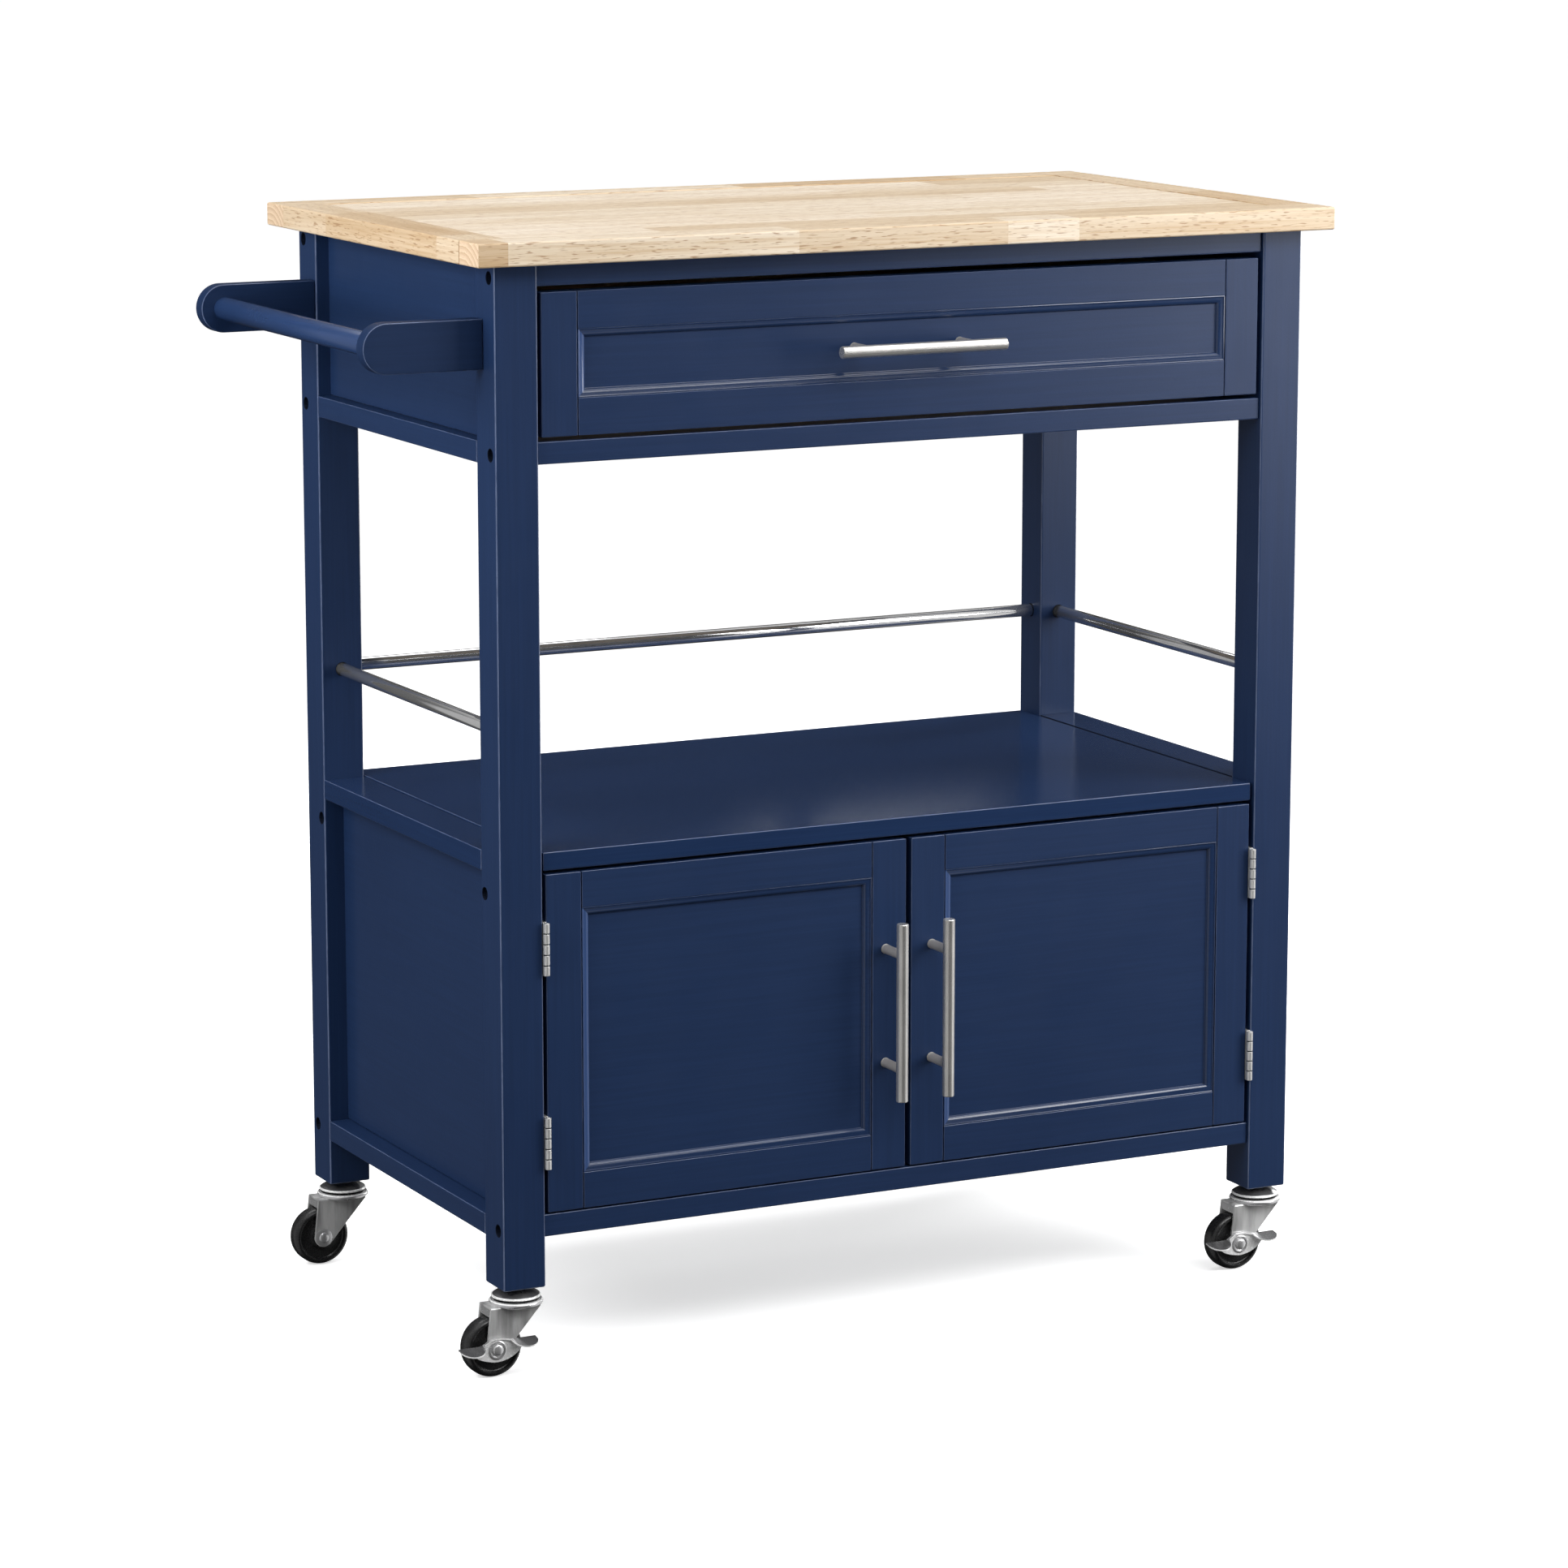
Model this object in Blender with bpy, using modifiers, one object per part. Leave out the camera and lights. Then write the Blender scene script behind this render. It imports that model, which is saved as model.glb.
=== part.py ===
"""Kitchen island cart: a navy hardwood frame with a light worktop, one drawer,
an open bay with a steel gallery rail, a two-door cabinet, a towel bar and four
swivel casters.

X is the cart's width, Y its depth (the front faces -Y) and Z is up. The origin
is on the floor under the middle of the whole cart, towel bar and pulls
included. The pieces are laid out about the frame's own middle first, and the
last step moves them all to that origin. Every length is in metres.
"""
import bpy
import bmesh
from math import cos, pi, radians, sin
from mathutils import Matrix, Vector

# The middle of the frame, seen from the middle of the whole cart.
FRAME_CENTRE = (0.0400, 0.0071, 0.0)

# ---- overall sizes ---------------------------------------------------------
HEIGHT = 0.9144
TOP_LENGTH = 0.776
TOP_DEPTH = 0.444
TOP_THICK = 0.019
FRAME_WIDTH = 0.734
FRAME_DEPTH = 0.4066
LEG = 0.0368
LEG_BOTTOM = 0.0729
GAP = 0.0003            # clearance between two touching pieces
EASE = 0.0012           # eased edge on painted wood
WIDE_EASE = 0.0018      # eased edge on the legs and the worktop
BOX_EASE = 0.0008       # eased edge on the drawer box
BOTTOM_EASE = 0.0004    # eased edge on the drawer's bottom

HALF_W = FRAME_WIDTH / 2
HALF_D = FRAME_DEPTH / 2
INNER_X = HALF_W - LEG      # the legs' faces that look at each other
INNER_Y = HALF_D - LEG
LEG_X = HALF_W - LEG / 2    # the legs' centres
LEG_Y = HALF_D - LEG / 2
TOP_BOTTOM = HEIGHT - TOP_THICK
LEG_TOP = TOP_BOTTOM - GAP

# ---- rails, panels and boards ----------------------------------------------
RAIL_RECESS = 0.003         # rails and boards behind the legs' front faces
RAIL_DEPTH = 0.018
DRAWER_RAIL_DEPTH = 0.060   # the drawer's box rests on it
RAIL_FRONT = -HALF_D + RAIL_RECESS
TOP_RAIL_Z = 0.8775
DRAWER_RAIL_Z = (0.7379, 0.7557)
SIDE_RAIL_Z = (0.7380, 0.7557)
SHELF_Z = (0.4135, 0.4285)
SHELF_RAIL_Z = (0.4115, 0.4285)
FLOOR_Z = (0.1137, 0.1321)
FLOOR_RAIL_Z = (0.1122, 0.1298)
BOARD_BACK = 0.1965         # back edge of the shelf and of the cabinet floor
BACK_INSET = 0.001          # the cabinet's back stands inside that edge
PANEL_THICK = 0.012
UPPER_PANEL_RECESS = 0.0115
CABINET_PANEL_RECESS = 0.017
REAR_PANEL_THICK = 0.015

# ---- drawer and doors ------------------------------------------------------
FRONT_THICK = 0.018
FRONT_FACE = -HALF_D + 0.002
FRONT_HALF_X = 0.3265       # outer edge of the drawer front and of the doors
DRAWER_FRONT_Z = (0.7592, 0.8727)
DOOR_Z = (0.1336, 0.4106)
DOOR_MEETING = 0.0025       # half the gap between the two doors
STILE = 0.0317
RAIL = 0.0297
MOULD_WIDTH = 0.007
MOULD_DEPTH = 0.0045
BOX_HALF_X = 0.3120
BOX_Z = (0.7640, 0.8600)
BOX_BACK = 0.1450
BOX_BOARD = 0.012
BOX_BOTTOM_THICK = 0.005
BOX_BOTTOM_LIFT = 0.006
RUNNER_HALF_X = 0.014

# ---- steel fittings --------------------------------------------------------
ROD_RADIUS = 0.0055
ROD_Z = 0.5223
PULL_RADIUS = 0.005
PULL_LENGTH = 0.1495
PULL_STANDOFF = 0.030
PULL_EASE = 0.0005
POST_RADIUS = 0.004
POST_SPACING = 0.096
DOOR_PULL_X = 0.0215
DRAWER_PULL_X = -0.004
DRAWER_PULL_Z = 0.8166
BOLT_RADIUS = 0.005         # counterbored bolt holes in the legs' outer faces
BOLT_DEPTH = 0.006
BOLT_Z = (0.8850, 0.7467, 0.1215)
BOLT_INSET = 0.0103         # from the legs' front and rear faces
MID_BOLT_Z = 0.3941
MID_BOLT_INSET = 0.0299

HINGE_X = 0.3281            # the hinge pins' axes
HINGE_Y = -0.2056
HINGE_Z = (0.1921, 0.3510)
HINGE_HEIGHT = 0.0433
KNUCKLE_RADIUS = 0.00265
KNUCKLES = 5
PIN_RADIUS = 0.0011
PIN_BORE = 0.0014
LEAF_THICK = 0.0012
LEAF_LENGTH = 0.0190
KNUCKLE_GAP = 0.0002        # at each end of a knuckle
PIN_INSET = 0.001           # the pin stops short of the hinge's ends
LEAF_CLEARANCE = 0.0004     # between a leaf and the other leaf's knuckles
TAB_LAP = 0.001             # how far a knuckle's tab runs into its leaf

# ---- towel bar -------------------------------------------------------------
ARM_HEIGHT = 0.040
ARM_END_X = -0.468
ARM_Y = (0.1675, 0.1820)
ARM_Z = 0.8325
ARM_EASE = 0.0010
DOWEL_RADIUS = 0.0095

# ---- casters ---------------------------------------------------------------
WHEEL_RADIUS = 0.025
WHEEL_STEPS = 28
AXLE_Z = WHEEL_RADIUS * cos(pi / WHEEL_STEPS)   # a flat of the tread on the floor
TRAIL = 0.0225              # the axle trails behind the swivel axis, towards -X
STEM_RADIUS = 0.005
STEM_TOP = 0.1060
STEM_BORE = 0.0054
STEM_BORE_TOP = 0.1085
KINGPIN_RADIUS = 0.0035
FORK_TOP = 0.0628
CROWN_Z = (0.0562, 0.0592)
CHEEK_Y = (0.0097, 0.0117)
CROWN_BACK = 0.0268         # how far the crown reaches behind the swivel axis
CROWN_FRONT = 0.0168
RACE_RADIUS = 0.0212
AXLE_RADIUS = 0.003
AXLE_REACH = 0.0137         # from the wheel's middle to the end of the rivet
LEVER_AXLE_REACH = 0.0170
RIVET_RADIUS = 0.0045
RIVET_THICK = 0.0014
CHEEK_END_RADIUS = 0.0083
RACE_TAPER = 0.0016         # how much narrower the fork's race is at its top
RACE_LAP = 0.0008           # how far the race runs into the crown
RIVET_TAPER = 0.0009
BORE_CLEARANCE = 0.0004     # round the kingpin and round the lever's pivot
LEVER_Y = (0.0122, 0.0138)
LEVER_HALF_LENGTH = 0.0255
LEVER_UP = 0.0075           # the plate's reach above and below its own middle
LEVER_DOWN = 0.0095
LEVER_LIFT = 0.001          # the plate's middle above the axle
LEVER_STEPS = 12
WING_DEPTH = 0.0125
WING_HALF = 0.0110
WING_HALF_THICK = 0.0008
WING_X = 0.0235             # the wings' middles from the axle
WING_LIFT = 0.0055
WING_STEP = 0.0015          # the front wing is higher and the back one lower

# ---- colours: linear base colour, roughness, metallic ----------------------
FINISHES = {
    "navy_paint": ((0.030, 0.049, 0.110), 0.42, 0.0),
    "worktop_wood": ((0.700, 0.510, 0.300), 0.50, 0.0),
    "drawer_wood": ((0.620, 0.460, 0.290), 0.60, 0.0),
    "brushed_steel": ((0.620, 0.600, 0.570), 0.30, 1.0),
    "polished_steel": ((0.720, 0.710, 0.700), 0.12, 1.0),
    "zinc_plate": ((0.580, 0.580, 0.580), 0.28, 1.0),
    "black_rubber": ((0.018, 0.018, 0.019), 0.55, 0.0),
}


# ---- helpers ---------------------------------------------------------------
def clear_scene():
    for thing in list(bpy.data.objects):
        bpy.data.objects.remove(thing, do_unlink=True)


def new_collection(name):
    group = bpy.data.collections.new(name)
    bpy.context.scene.collection.children.link(group)
    return group


def make_material(name):
    colour, roughness, metallic = FINISHES[name]
    material = bpy.data.materials.new(name)
    material.use_nodes = True
    shader = material.node_tree.nodes["Principled BSDF"]
    shader.inputs["Base Color"].default_value = (*colour, 1.0)
    shader.inputs["Roughness"].default_value = roughness
    shader.inputs["Metallic"].default_value = metallic
    return material


def add_object(name, bm, finish=None, origin=(0, 0, 0), parent=None):
    """Turns a bmesh in world coordinates into an object whose origin is given."""
    bmesh.ops.recalc_face_normals(bm, faces=bm.faces)
    bmesh.ops.translate(bm, verts=bm.verts, vec=-Vector(origin))
    mesh = bpy.data.meshes.new(name)
    bm.to_mesh(mesh)
    bm.free()
    thing = bpy.data.objects.new(name, mesh)
    thing.location = origin
    if finish is None:
        thing.hide_render = True
        thing.display_type = "WIRE"
        cutters.objects.link(thing)
    else:
        mesh.materials.append(materials[finish])
        cart.objects.link(thing)
    if parent is not None:
        thing.parent = parent
        thing.location = Vector(origin) - parent.location
    return thing


def add_pivot(name, location, parent=None):
    """An empty on a joint's axis, which carries the pieces that turn or slide."""
    pivot = bpy.data.objects.new(name, None)
    pivot.empty_display_size = 0.02
    cart.objects.link(pivot)
    pivot.location = location
    if parent is not None:
        pivot.parent = parent
        pivot.location = Vector(location) - parent.location
    return pivot


def box_mesh(low, high):
    """A box between two opposite corners."""
    bm = bmesh.new()
    bmesh.ops.create_cube(bm, size=1.0)
    low = Vector(low)
    high = Vector(high)
    for vert in bm.verts:
        for axis in range(3):
            middle = (low[axis] + high[axis]) / 2
            vert.co[axis] = middle + vert.co[axis] * (high[axis] - low[axis])
    return bm


def rod_mesh(start, end, radius, segments=24, end_radius=None):
    """A capped cylinder, or a cone when end_radius is given."""
    start = Vector(start)
    end = Vector(end)
    along = end - start
    turn = along.to_track_quat("Z", "Y").to_matrix().to_4x4()
    place = Matrix.Translation((start + end) / 2) @ turn
    bm = bmesh.new()
    bmesh.ops.create_cone(bm, cap_ends=True, segments=segments, radius1=radius,
                          radius2=radius if end_radius is None else end_radius,
                          depth=along.length, matrix=place)
    return bm


def outline_mesh(points, low, high, axis="Y"):
    """A flat outline drawn in the plane across the given axis, made solid."""
    bm = bmesh.new()
    verts = []
    for a, b in points:
        verts.append(bm.verts.new((a, low, b) if axis == "Y" else (a, b, low)))
    face = bm.faces.new(verts)
    grown = bmesh.ops.extrude_face_region(bm, geom=[face])
    moved = [item for item in grown["geom"] if isinstance(item, bmesh.types.BMVert)]
    shift = (0, high - low, 0) if axis == "Y" else (0, 0, high - low)
    bmesh.ops.translate(bm, verts=moved, vec=shift)
    return bm


def arc(centre, radius, start, end, steps):
    """Points on an arc, from the start angle to the end angle in degrees."""
    points = []
    for step in range(steps + 1):
        angle = radians(start + (end - start) * step / steps)
        points.append((centre[0] + radius * cos(angle), centre[1] + radius * sin(angle)))
    return points


def ease_edges(thing, width=EASE, segments=1, angle=30):
    bevel = thing.modifiers.new("eased_edges", "BEVEL")
    bevel.width = width
    bevel.segments = segments
    bevel.limit_method = "ANGLE"
    bevel.angle_limit = radians(angle)
    return bevel


def combine(thing, other, operation):
    boolean = thing.modifiers.new(operation.lower(), "BOOLEAN")
    boolean.operation = operation
    boolean.object = other
    boolean.solver = "EXACT"
    return boolean


def smooth(thing, angle=35):
    thing.data.shade_smooth()
    thing.data.set_sharp_from_angle(angle=radians(angle))


def board(name, low, high, finish="navy_paint", parent=None, origin=None, ease=EASE):
    """A plain eased board between two opposite corners."""
    place = origin if origin is not None else (Vector(low) + Vector(high)) / 2
    thing = add_object(name, box_mesh(low, high), finish, origin=place, parent=parent)
    ease_edges(thing, ease)
    return thing


def turned(name, profile, finish, origin, axis="Z", steps=32, parent=None):
    """A turned piece: (radius, height) points, from the top of its outer side down."""
    mesh = bpy.data.meshes.new(name)
    verts = []
    for radius, height in profile:
        verts.append((radius, 0, height) if axis == "Z" else (radius, height, 0))
    count = len(verts)
    closed = profile[0][0] > 0 and profile[-1][0] > 0
    edges = [(i, i + 1) for i in range(count - 1)]
    if closed:
        edges.append((count - 1, 0))
    mesh.from_pydata(verts, edges, [])
    mesh.materials.append(materials[finish])
    thing = bpy.data.objects.new(name, mesh)
    cart.objects.link(thing)
    thing.location = origin
    if parent is not None:
        thing.parent = parent
        thing.location = Vector(origin) - parent.location
    screw = thing.modifiers.new("turned", "SCREW")
    screw.axis = axis
    screw.steps = steps
    screw.render_steps = steps
    screw.use_merge_vertices = True
    screw.merge_threshold = 0.00005
    screw.use_smooth_shade = True
    screw.use_normal_calculate = True
    return thing


# ---- worktop ---------------------------------------------------------------
def build_worktop():
    low = (-TOP_LENGTH / 2, -TOP_DEPTH / 2, TOP_BOTTOM)
    high = (TOP_LENGTH / 2, TOP_DEPTH / 2, HEIGHT)
    top = add_object("worktop", box_mesh(low, high), "worktop_wood",
                     origin=(0, 0, TOP_BOTTOM))
    ease_edges(top, WIDE_EASE, segments=2)


# ---- legs ------------------------------------------------------------------
def build_leg(name, side, end):
    """One leg, with a bore for the caster's stem and counterbored bolt holes."""
    low = (side * LEG_X - LEG / 2, end * LEG_Y - LEG / 2, LEG_BOTTOM)
    high = (side * LEG_X + LEG / 2, end * LEG_Y + LEG / 2, LEG_TOP)
    leg = add_object(name, box_mesh(low, high), "navy_paint",
                     origin=(side * LEG_X, end * LEG_Y, LEG_BOTTOM))
    ease_edges(leg, WIDE_EASE, segments=2)
    bore = add_object(name + "_stem_bore_cutter",
                      rod_mesh((side * LEG_X, end * LEG_Y, LEG_BOTTOM - 0.01),
                               (side * LEG_X, end * LEG_Y, STEM_BORE_TOP), STEM_BORE, 20))
    combine(leg, bore, "DIFFERENCE")
    holes = [(end * (HALF_D - BOLT_INSET), height) for height in BOLT_Z]
    holes.append((end * (HALF_D - MID_BOLT_INSET), MID_BOLT_Z))
    for index, (place, height) in enumerate(holes):
        start = (side * (HALF_W + 0.01), place, height)
        finish = (side * (HALF_W - BOLT_DEPTH), place, height)
        hole = add_object(f"{name}_bolt_cutter_{index}",
                          rod_mesh(start, finish, BOLT_RADIUS, 20))
        combine(leg, hole, "DIFFERENCE")


# ---- frame -----------------------------------------------------------------
def build_front_rails():
    half = INNER_X - GAP
    board("front_top_rail", (-half, RAIL_FRONT, TOP_RAIL_Z),
          (half, RAIL_FRONT + RAIL_DEPTH, LEG_TOP))
    board("front_drawer_rail", (-half, RAIL_FRONT, DRAWER_RAIL_Z[0]),
          (half, RAIL_FRONT + DRAWER_RAIL_DEPTH, DRAWER_RAIL_Z[1]))


def build_side(word, side):
    """The rails and the two recessed panels between a front and a rear leg."""
    half = INNER_Y - GAP

    def spanning(name, inner, outer, low_z, high_z):
        edges = sorted((side * inner, side * outer))
        board(f"{name}_{word}", (edges[0], -half, low_z), (edges[1], half, high_z))

    rails = (("side_rail", SIDE_RAIL_Z), ("shelf_side_rail", SHELF_RAIL_Z),
             ("floor_side_rail", FLOOR_RAIL_Z))
    for name, (low_z, high_z) in rails:
        spanning(name, INNER_X, HALF_W, low_z, high_z)
    outer = HALF_W - UPPER_PANEL_RECESS
    spanning("side_panel", outer - PANEL_THICK, outer, SIDE_RAIL_Z[1] + GAP, LEG_TOP)
    outer = HALF_W - CABINET_PANEL_RECESS
    spanning("cabinet_side", outer - PANEL_THICK, outer, FLOOR_RAIL_Z[1] + GAP,
             SHELF_RAIL_Z[0] - GAP)


def build_boards():
    half = INNER_X - GAP
    board("shelf", (-half, RAIL_FRONT, SHELF_Z[0]), (half, BOARD_BACK, SHELF_Z[1]))
    board("cabinet_floor", (-half, RAIL_FRONT, FLOOR_Z[0]), (half, BOARD_BACK, FLOOR_Z[1]))
    back = BOARD_BACK - BACK_INSET
    board("cabinet_back", (-half, back - PANEL_THICK, FLOOR_Z[1] + GAP),
          (half, back, SHELF_Z[0] - GAP))
    rear = HALF_D - RAIL_RECESS
    board("rear_panel", (-half, rear - REAR_PANEL_THICK, SIDE_RAIL_Z[0]),
          (half, rear, LEG_TOP))
    board("drawer_runner",
          (-RUNNER_HALF_X, RAIL_FRONT + DRAWER_RAIL_DEPTH + GAP, DRAWER_RAIL_Z[0]),
          (RUNNER_HALF_X, rear - REAR_PANEL_THICK - GAP, DRAWER_RAIL_Z[1]),
          finish="drawer_wood")


def build_gallery():
    """Three steel rods between the legs, round the back and sides of the open bay."""
    runs = {
        "gallery_rod_rear": ((-INNER_X + GAP, LEG_Y), (INNER_X - GAP, LEG_Y)),
        "gallery_rod_left": ((-LEG_X, -INNER_Y + GAP), (-LEG_X, INNER_Y - GAP)),
        "gallery_rod_right": ((LEG_X, -INNER_Y + GAP), (LEG_X, INNER_Y - GAP)),
    }
    for name, (start, end) in runs.items():
        bm = rod_mesh((*start, ROD_Z), (*end, ROD_Z), ROD_RADIUS)
        middle = ((start[0] + end[0]) / 2, (start[1] + end[1]) / 2, ROD_Z)
        smooth(add_object(name, bm, "polished_steel", origin=middle))


def build_towel_bar():
    """Two round-ended arms on the left legs and the dowel between them."""
    radius = ARM_HEIGHT / 2
    centre = (ARM_END_X + radius, ARM_Z)
    start_x = -HALF_W - GAP
    outline = [(start_x, ARM_Z - radius), (start_x, ARM_Z + radius)]
    outline += arc(centre, radius, 90, 270, 14)
    for word, sign in (("front", -1), ("rear", 1)):
        low, high = sorted((sign * ARM_Y[0], sign * ARM_Y[1]))
        arm = add_object(f"towel_arm_{word}", outline_mesh(outline, low, high),
                         "navy_paint", origin=(start_x, (low + high) / 2, ARM_Z))
        smooth(arm)
        ease_edges(arm, ARM_EASE)
    reach = ARM_Y[0] - GAP
    dowel = add_object("towel_dowel",
                       rod_mesh((centre[0], -reach, ARM_Z), (centre[0], reach, ARM_Z),
                                DOWEL_RADIUS, 28),
                       "navy_paint", origin=(centre[0], 0, ARM_Z))
    smooth(dowel)


# ---- drawer and doors ------------------------------------------------------
def panelled_front(name, low_x, high_x, z_range, parent):
    """A framed front whose middle is sunk behind a sloping moulding."""
    low_z, high_z = z_range
    front = add_object(name, box_mesh((low_x, FRONT_FACE, low_z),
                                      (high_x, FRONT_FACE + FRONT_THICK, high_z)),
                       "navy_paint", origin=parent.matrix_world.translation, parent=parent)
    ease_edges(front, EASE)
    over = 0.01
    slope = MOULD_WIDTH / MOULD_DEPTH
    bm = box_mesh((low_x + STILE, FRONT_FACE - over, low_z + RAIL),
                  (high_x - STILE, FRONT_FACE + MOULD_DEPTH, high_z - RAIL))
    middle = Vector(((low_x + high_x) / 2, 0, (low_z + high_z) / 2))
    for vert in bm.verts:
        depth = vert.co.y - FRONT_FACE
        for axis in (0, 2):
            inward = 1 if vert.co[axis] < middle[axis] else -1
            vert.co[axis] += inward * depth * slope
    cutter = add_object(name + "_sunk_cutter", bm)
    cutter.parent = parent
    cutter.location = -parent.location
    combine(front, cutter, "DIFFERENCE")
    return front


def build_pull(name, centre, direction, parent):
    """A round bar on two posts; direction is the bar's unit vector."""
    centre = Vector(centre)
    along = Vector(direction)
    bar = add_object(name, rod_mesh(centre - along * PULL_LENGTH / 2,
                                    centre + along * PULL_LENGTH / 2, PULL_RADIUS, 24),
                     "brushed_steel", origin=parent.location, parent=parent)
    ease_edges(bar, PULL_EASE, angle=60)
    for index, sign in enumerate((-1, 1)):
        root = centre + along * sign * POST_SPACING / 2
        foot = Vector((root.x, FRONT_FACE - GAP, root.z))
        post = add_object(f"{name}_post_{index}", rod_mesh(foot, root, POST_RADIUS, 16))
        post.parent = parent
        post.location = -parent.location
        combine(bar, post, "UNION")
    smooth(bar)


def build_drawer():
    slide = add_pivot("drawer_slide", (0, FRONT_FACE, (BOX_Z[0] + BOX_Z[1]) / 2))
    bpy.context.view_layer.update()
    panelled_front("drawer_front", -FRONT_HALF_X, FRONT_HALF_X, DRAWER_FRONT_Z, slide)
    start = FRONT_FACE + FRONT_THICK + GAP
    low_z, high_z = BOX_Z
    home = slide.location
    for word, sign in (("left", -1), ("right", 1)):
        edges = sorted((sign * BOX_HALF_X, sign * (BOX_HALF_X - BOX_BOARD)))
        board(f"drawer_side_{word}", (edges[0], start, low_z), (edges[1], BOX_BACK, high_z),
              finish="drawer_wood", parent=slide, origin=home, ease=BOX_EASE)
    half = BOX_HALF_X - BOX_BOARD - GAP
    board("drawer_back", (-half, BOX_BACK - BOX_BOARD, low_z), (half, BOX_BACK, high_z),
          finish="drawer_wood", parent=slide, origin=home, ease=BOX_EASE)
    floor_z = low_z + BOX_BOTTOM_LIFT
    board("drawer_bottom", (-half, start, floor_z),
          (half, BOX_BACK - BOX_BOARD - GAP, floor_z + BOX_BOTTOM_THICK),
          finish="drawer_wood", parent=slide, origin=home, ease=BOTTOM_EASE)
    build_pull("drawer_pull", (DRAWER_PULL_X, FRONT_FACE - PULL_STANDOFF, DRAWER_PULL_Z),
               (1, 0, 0), slide)


def hinge_half(name, side, height, on_door, parent=None):
    """One leaf of a butt hinge with its share of the five knuckles."""
    pitch = HINGE_HEIGHT / KNUCKLES
    base = height - HINGE_HEIGHT / 2
    near = HINGE_Y + KNUCKLE_RADIUS + LEAF_CLEARANCE
    if on_door:
        plane = sorted((side * (FRONT_HALF_X + GAP), side * (FRONT_HALF_X + GAP + LEAF_THICK)))
        shares = (1, 3)
    else:
        plane = sorted((side * (INNER_X - GAP), side * (INNER_X - GAP - LEAF_THICK)))
        shares = (0, 2, 4)
    origin = (side * HINGE_X, HINGE_Y, height)
    leaf = add_object(name, box_mesh((plane[0], near, base),
                                     (plane[1], HINGE_Y + LEAF_LENGTH, base + HINGE_HEIGHT)),
                      "brushed_steel", origin=origin, parent=parent)

    def joined(word, bm, operation):
        tool = add_object(f"{name}_{word}", bm)
        combine(leaf, tool, operation)
        if parent is not None:
            tool.parent = parent
            tool.location = -parent.location

    for share in shares:
        low = base + share * pitch + KNUCKLE_GAP
        high = base + (share + 1) * pitch - KNUCKLE_GAP
        joined(f"tab_{share}", box_mesh((plane[0], HINGE_Y, low),
                                        (plane[1], near + TAB_LAP, high)), "UNION")
        joined(f"knuckle_{share}",
               rod_mesh((side * HINGE_X, HINGE_Y, low), (side * HINGE_X, HINGE_Y, high),
                        KNUCKLE_RADIUS, 16), "UNION")
    top = base + HINGE_HEIGHT - PIN_INSET
    if on_door:
        joined("bore", rod_mesh((side * HINGE_X, HINGE_Y, base), (side * HINGE_X, HINGE_Y, top),
                                PIN_BORE, 12), "DIFFERENCE")
    else:
        joined("pin", rod_mesh((side * HINGE_X, HINGE_Y, base + PIN_INSET),
                               (side * HINGE_X, HINGE_Y, top), PIN_RADIUS, 12), "UNION")
    smooth(leaf)


def build_door(word, side):
    """A framed door with its pull, hung on two butt hinges."""
    pivot = add_pivot(f"door_{word}_hinge", (side * HINGE_X, HINGE_Y, DOOR_Z[0]))
    bpy.context.view_layer.update()
    edges = sorted((side * DOOR_MEETING, side * FRONT_HALF_X))
    panelled_front(f"door_{word}", edges[0], edges[1], DOOR_Z, pivot)
    middle = (DOOR_Z[0] + DOOR_Z[1]) / 2
    build_pull(f"door_pull_{word}", (side * DOOR_PULL_X, FRONT_FACE - PULL_STANDOFF, middle),
               (0, 0, 1), pivot)
    for place, height in zip(("lower", "upper"), HINGE_Z):
        hinge_half(f"hinge_frame_{word}_{place}", side, height, False)
        hinge_half(f"hinge_door_{word}_{place}", side, height, True, pivot)


# ---- casters ---------------------------------------------------------------
def wheel_profile():
    """Tread, shoulders, sunk web and hub of a moulded wheel, as (radius, offset)."""
    half = [(0.0250, 0.0038), (0.0242, 0.0068), (0.0222, 0.0083), (0.0203, 0.0080),
            (0.0192, 0.0062), (0.0105, 0.0062), (0.0092, 0.0087), (0.0034, 0.0087)]
    return half + [(radius, -offset) for radius, offset in reversed(half)]


def mount_profile():
    """Stem, flange, domed upper race and kingpin, as (radius, height) on the axis."""
    return [(0.0, STEM_TOP), (STEM_RADIUS - 0.001, STEM_TOP), (STEM_RADIUS, STEM_TOP - 0.001),
            (STEM_RADIUS, LEG_BOTTOM - GAP), (0.0092, LEG_BOTTOM - GAP), (0.0092, 0.0702),
            (0.0130, 0.0690), (0.0185, 0.0662), (0.0202, 0.0644), (0.0198, FORK_TOP + 0.0004),
            (KINGPIN_RADIUS, FORK_TOP + 0.0004), (KINGPIN_RADIUS, CROWN_Z[0] - 0.0004),
            (0.0058, CROWN_Z[0] - 0.0004), (0.0050, CROWN_Z[0] - 0.0019),
            (0.0, CROWN_Z[0] - 0.0022)]


def cheek_outline(axle, swivel_x):
    """A fork cheek seen from the side: a round end that widens to the crown."""
    centre = (axle[0], axle[2])
    top = (CROWN_Z[0] + CROWN_Z[1]) / 2
    back = (swivel_x - CROWN_BACK + 0.0006, top)
    front = (swivel_x + CROWN_FRONT - 0.0003, top)
    return [back] + arc(centre, CHEEK_END_RADIUS, 183, 317, 10) + [front]


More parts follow.
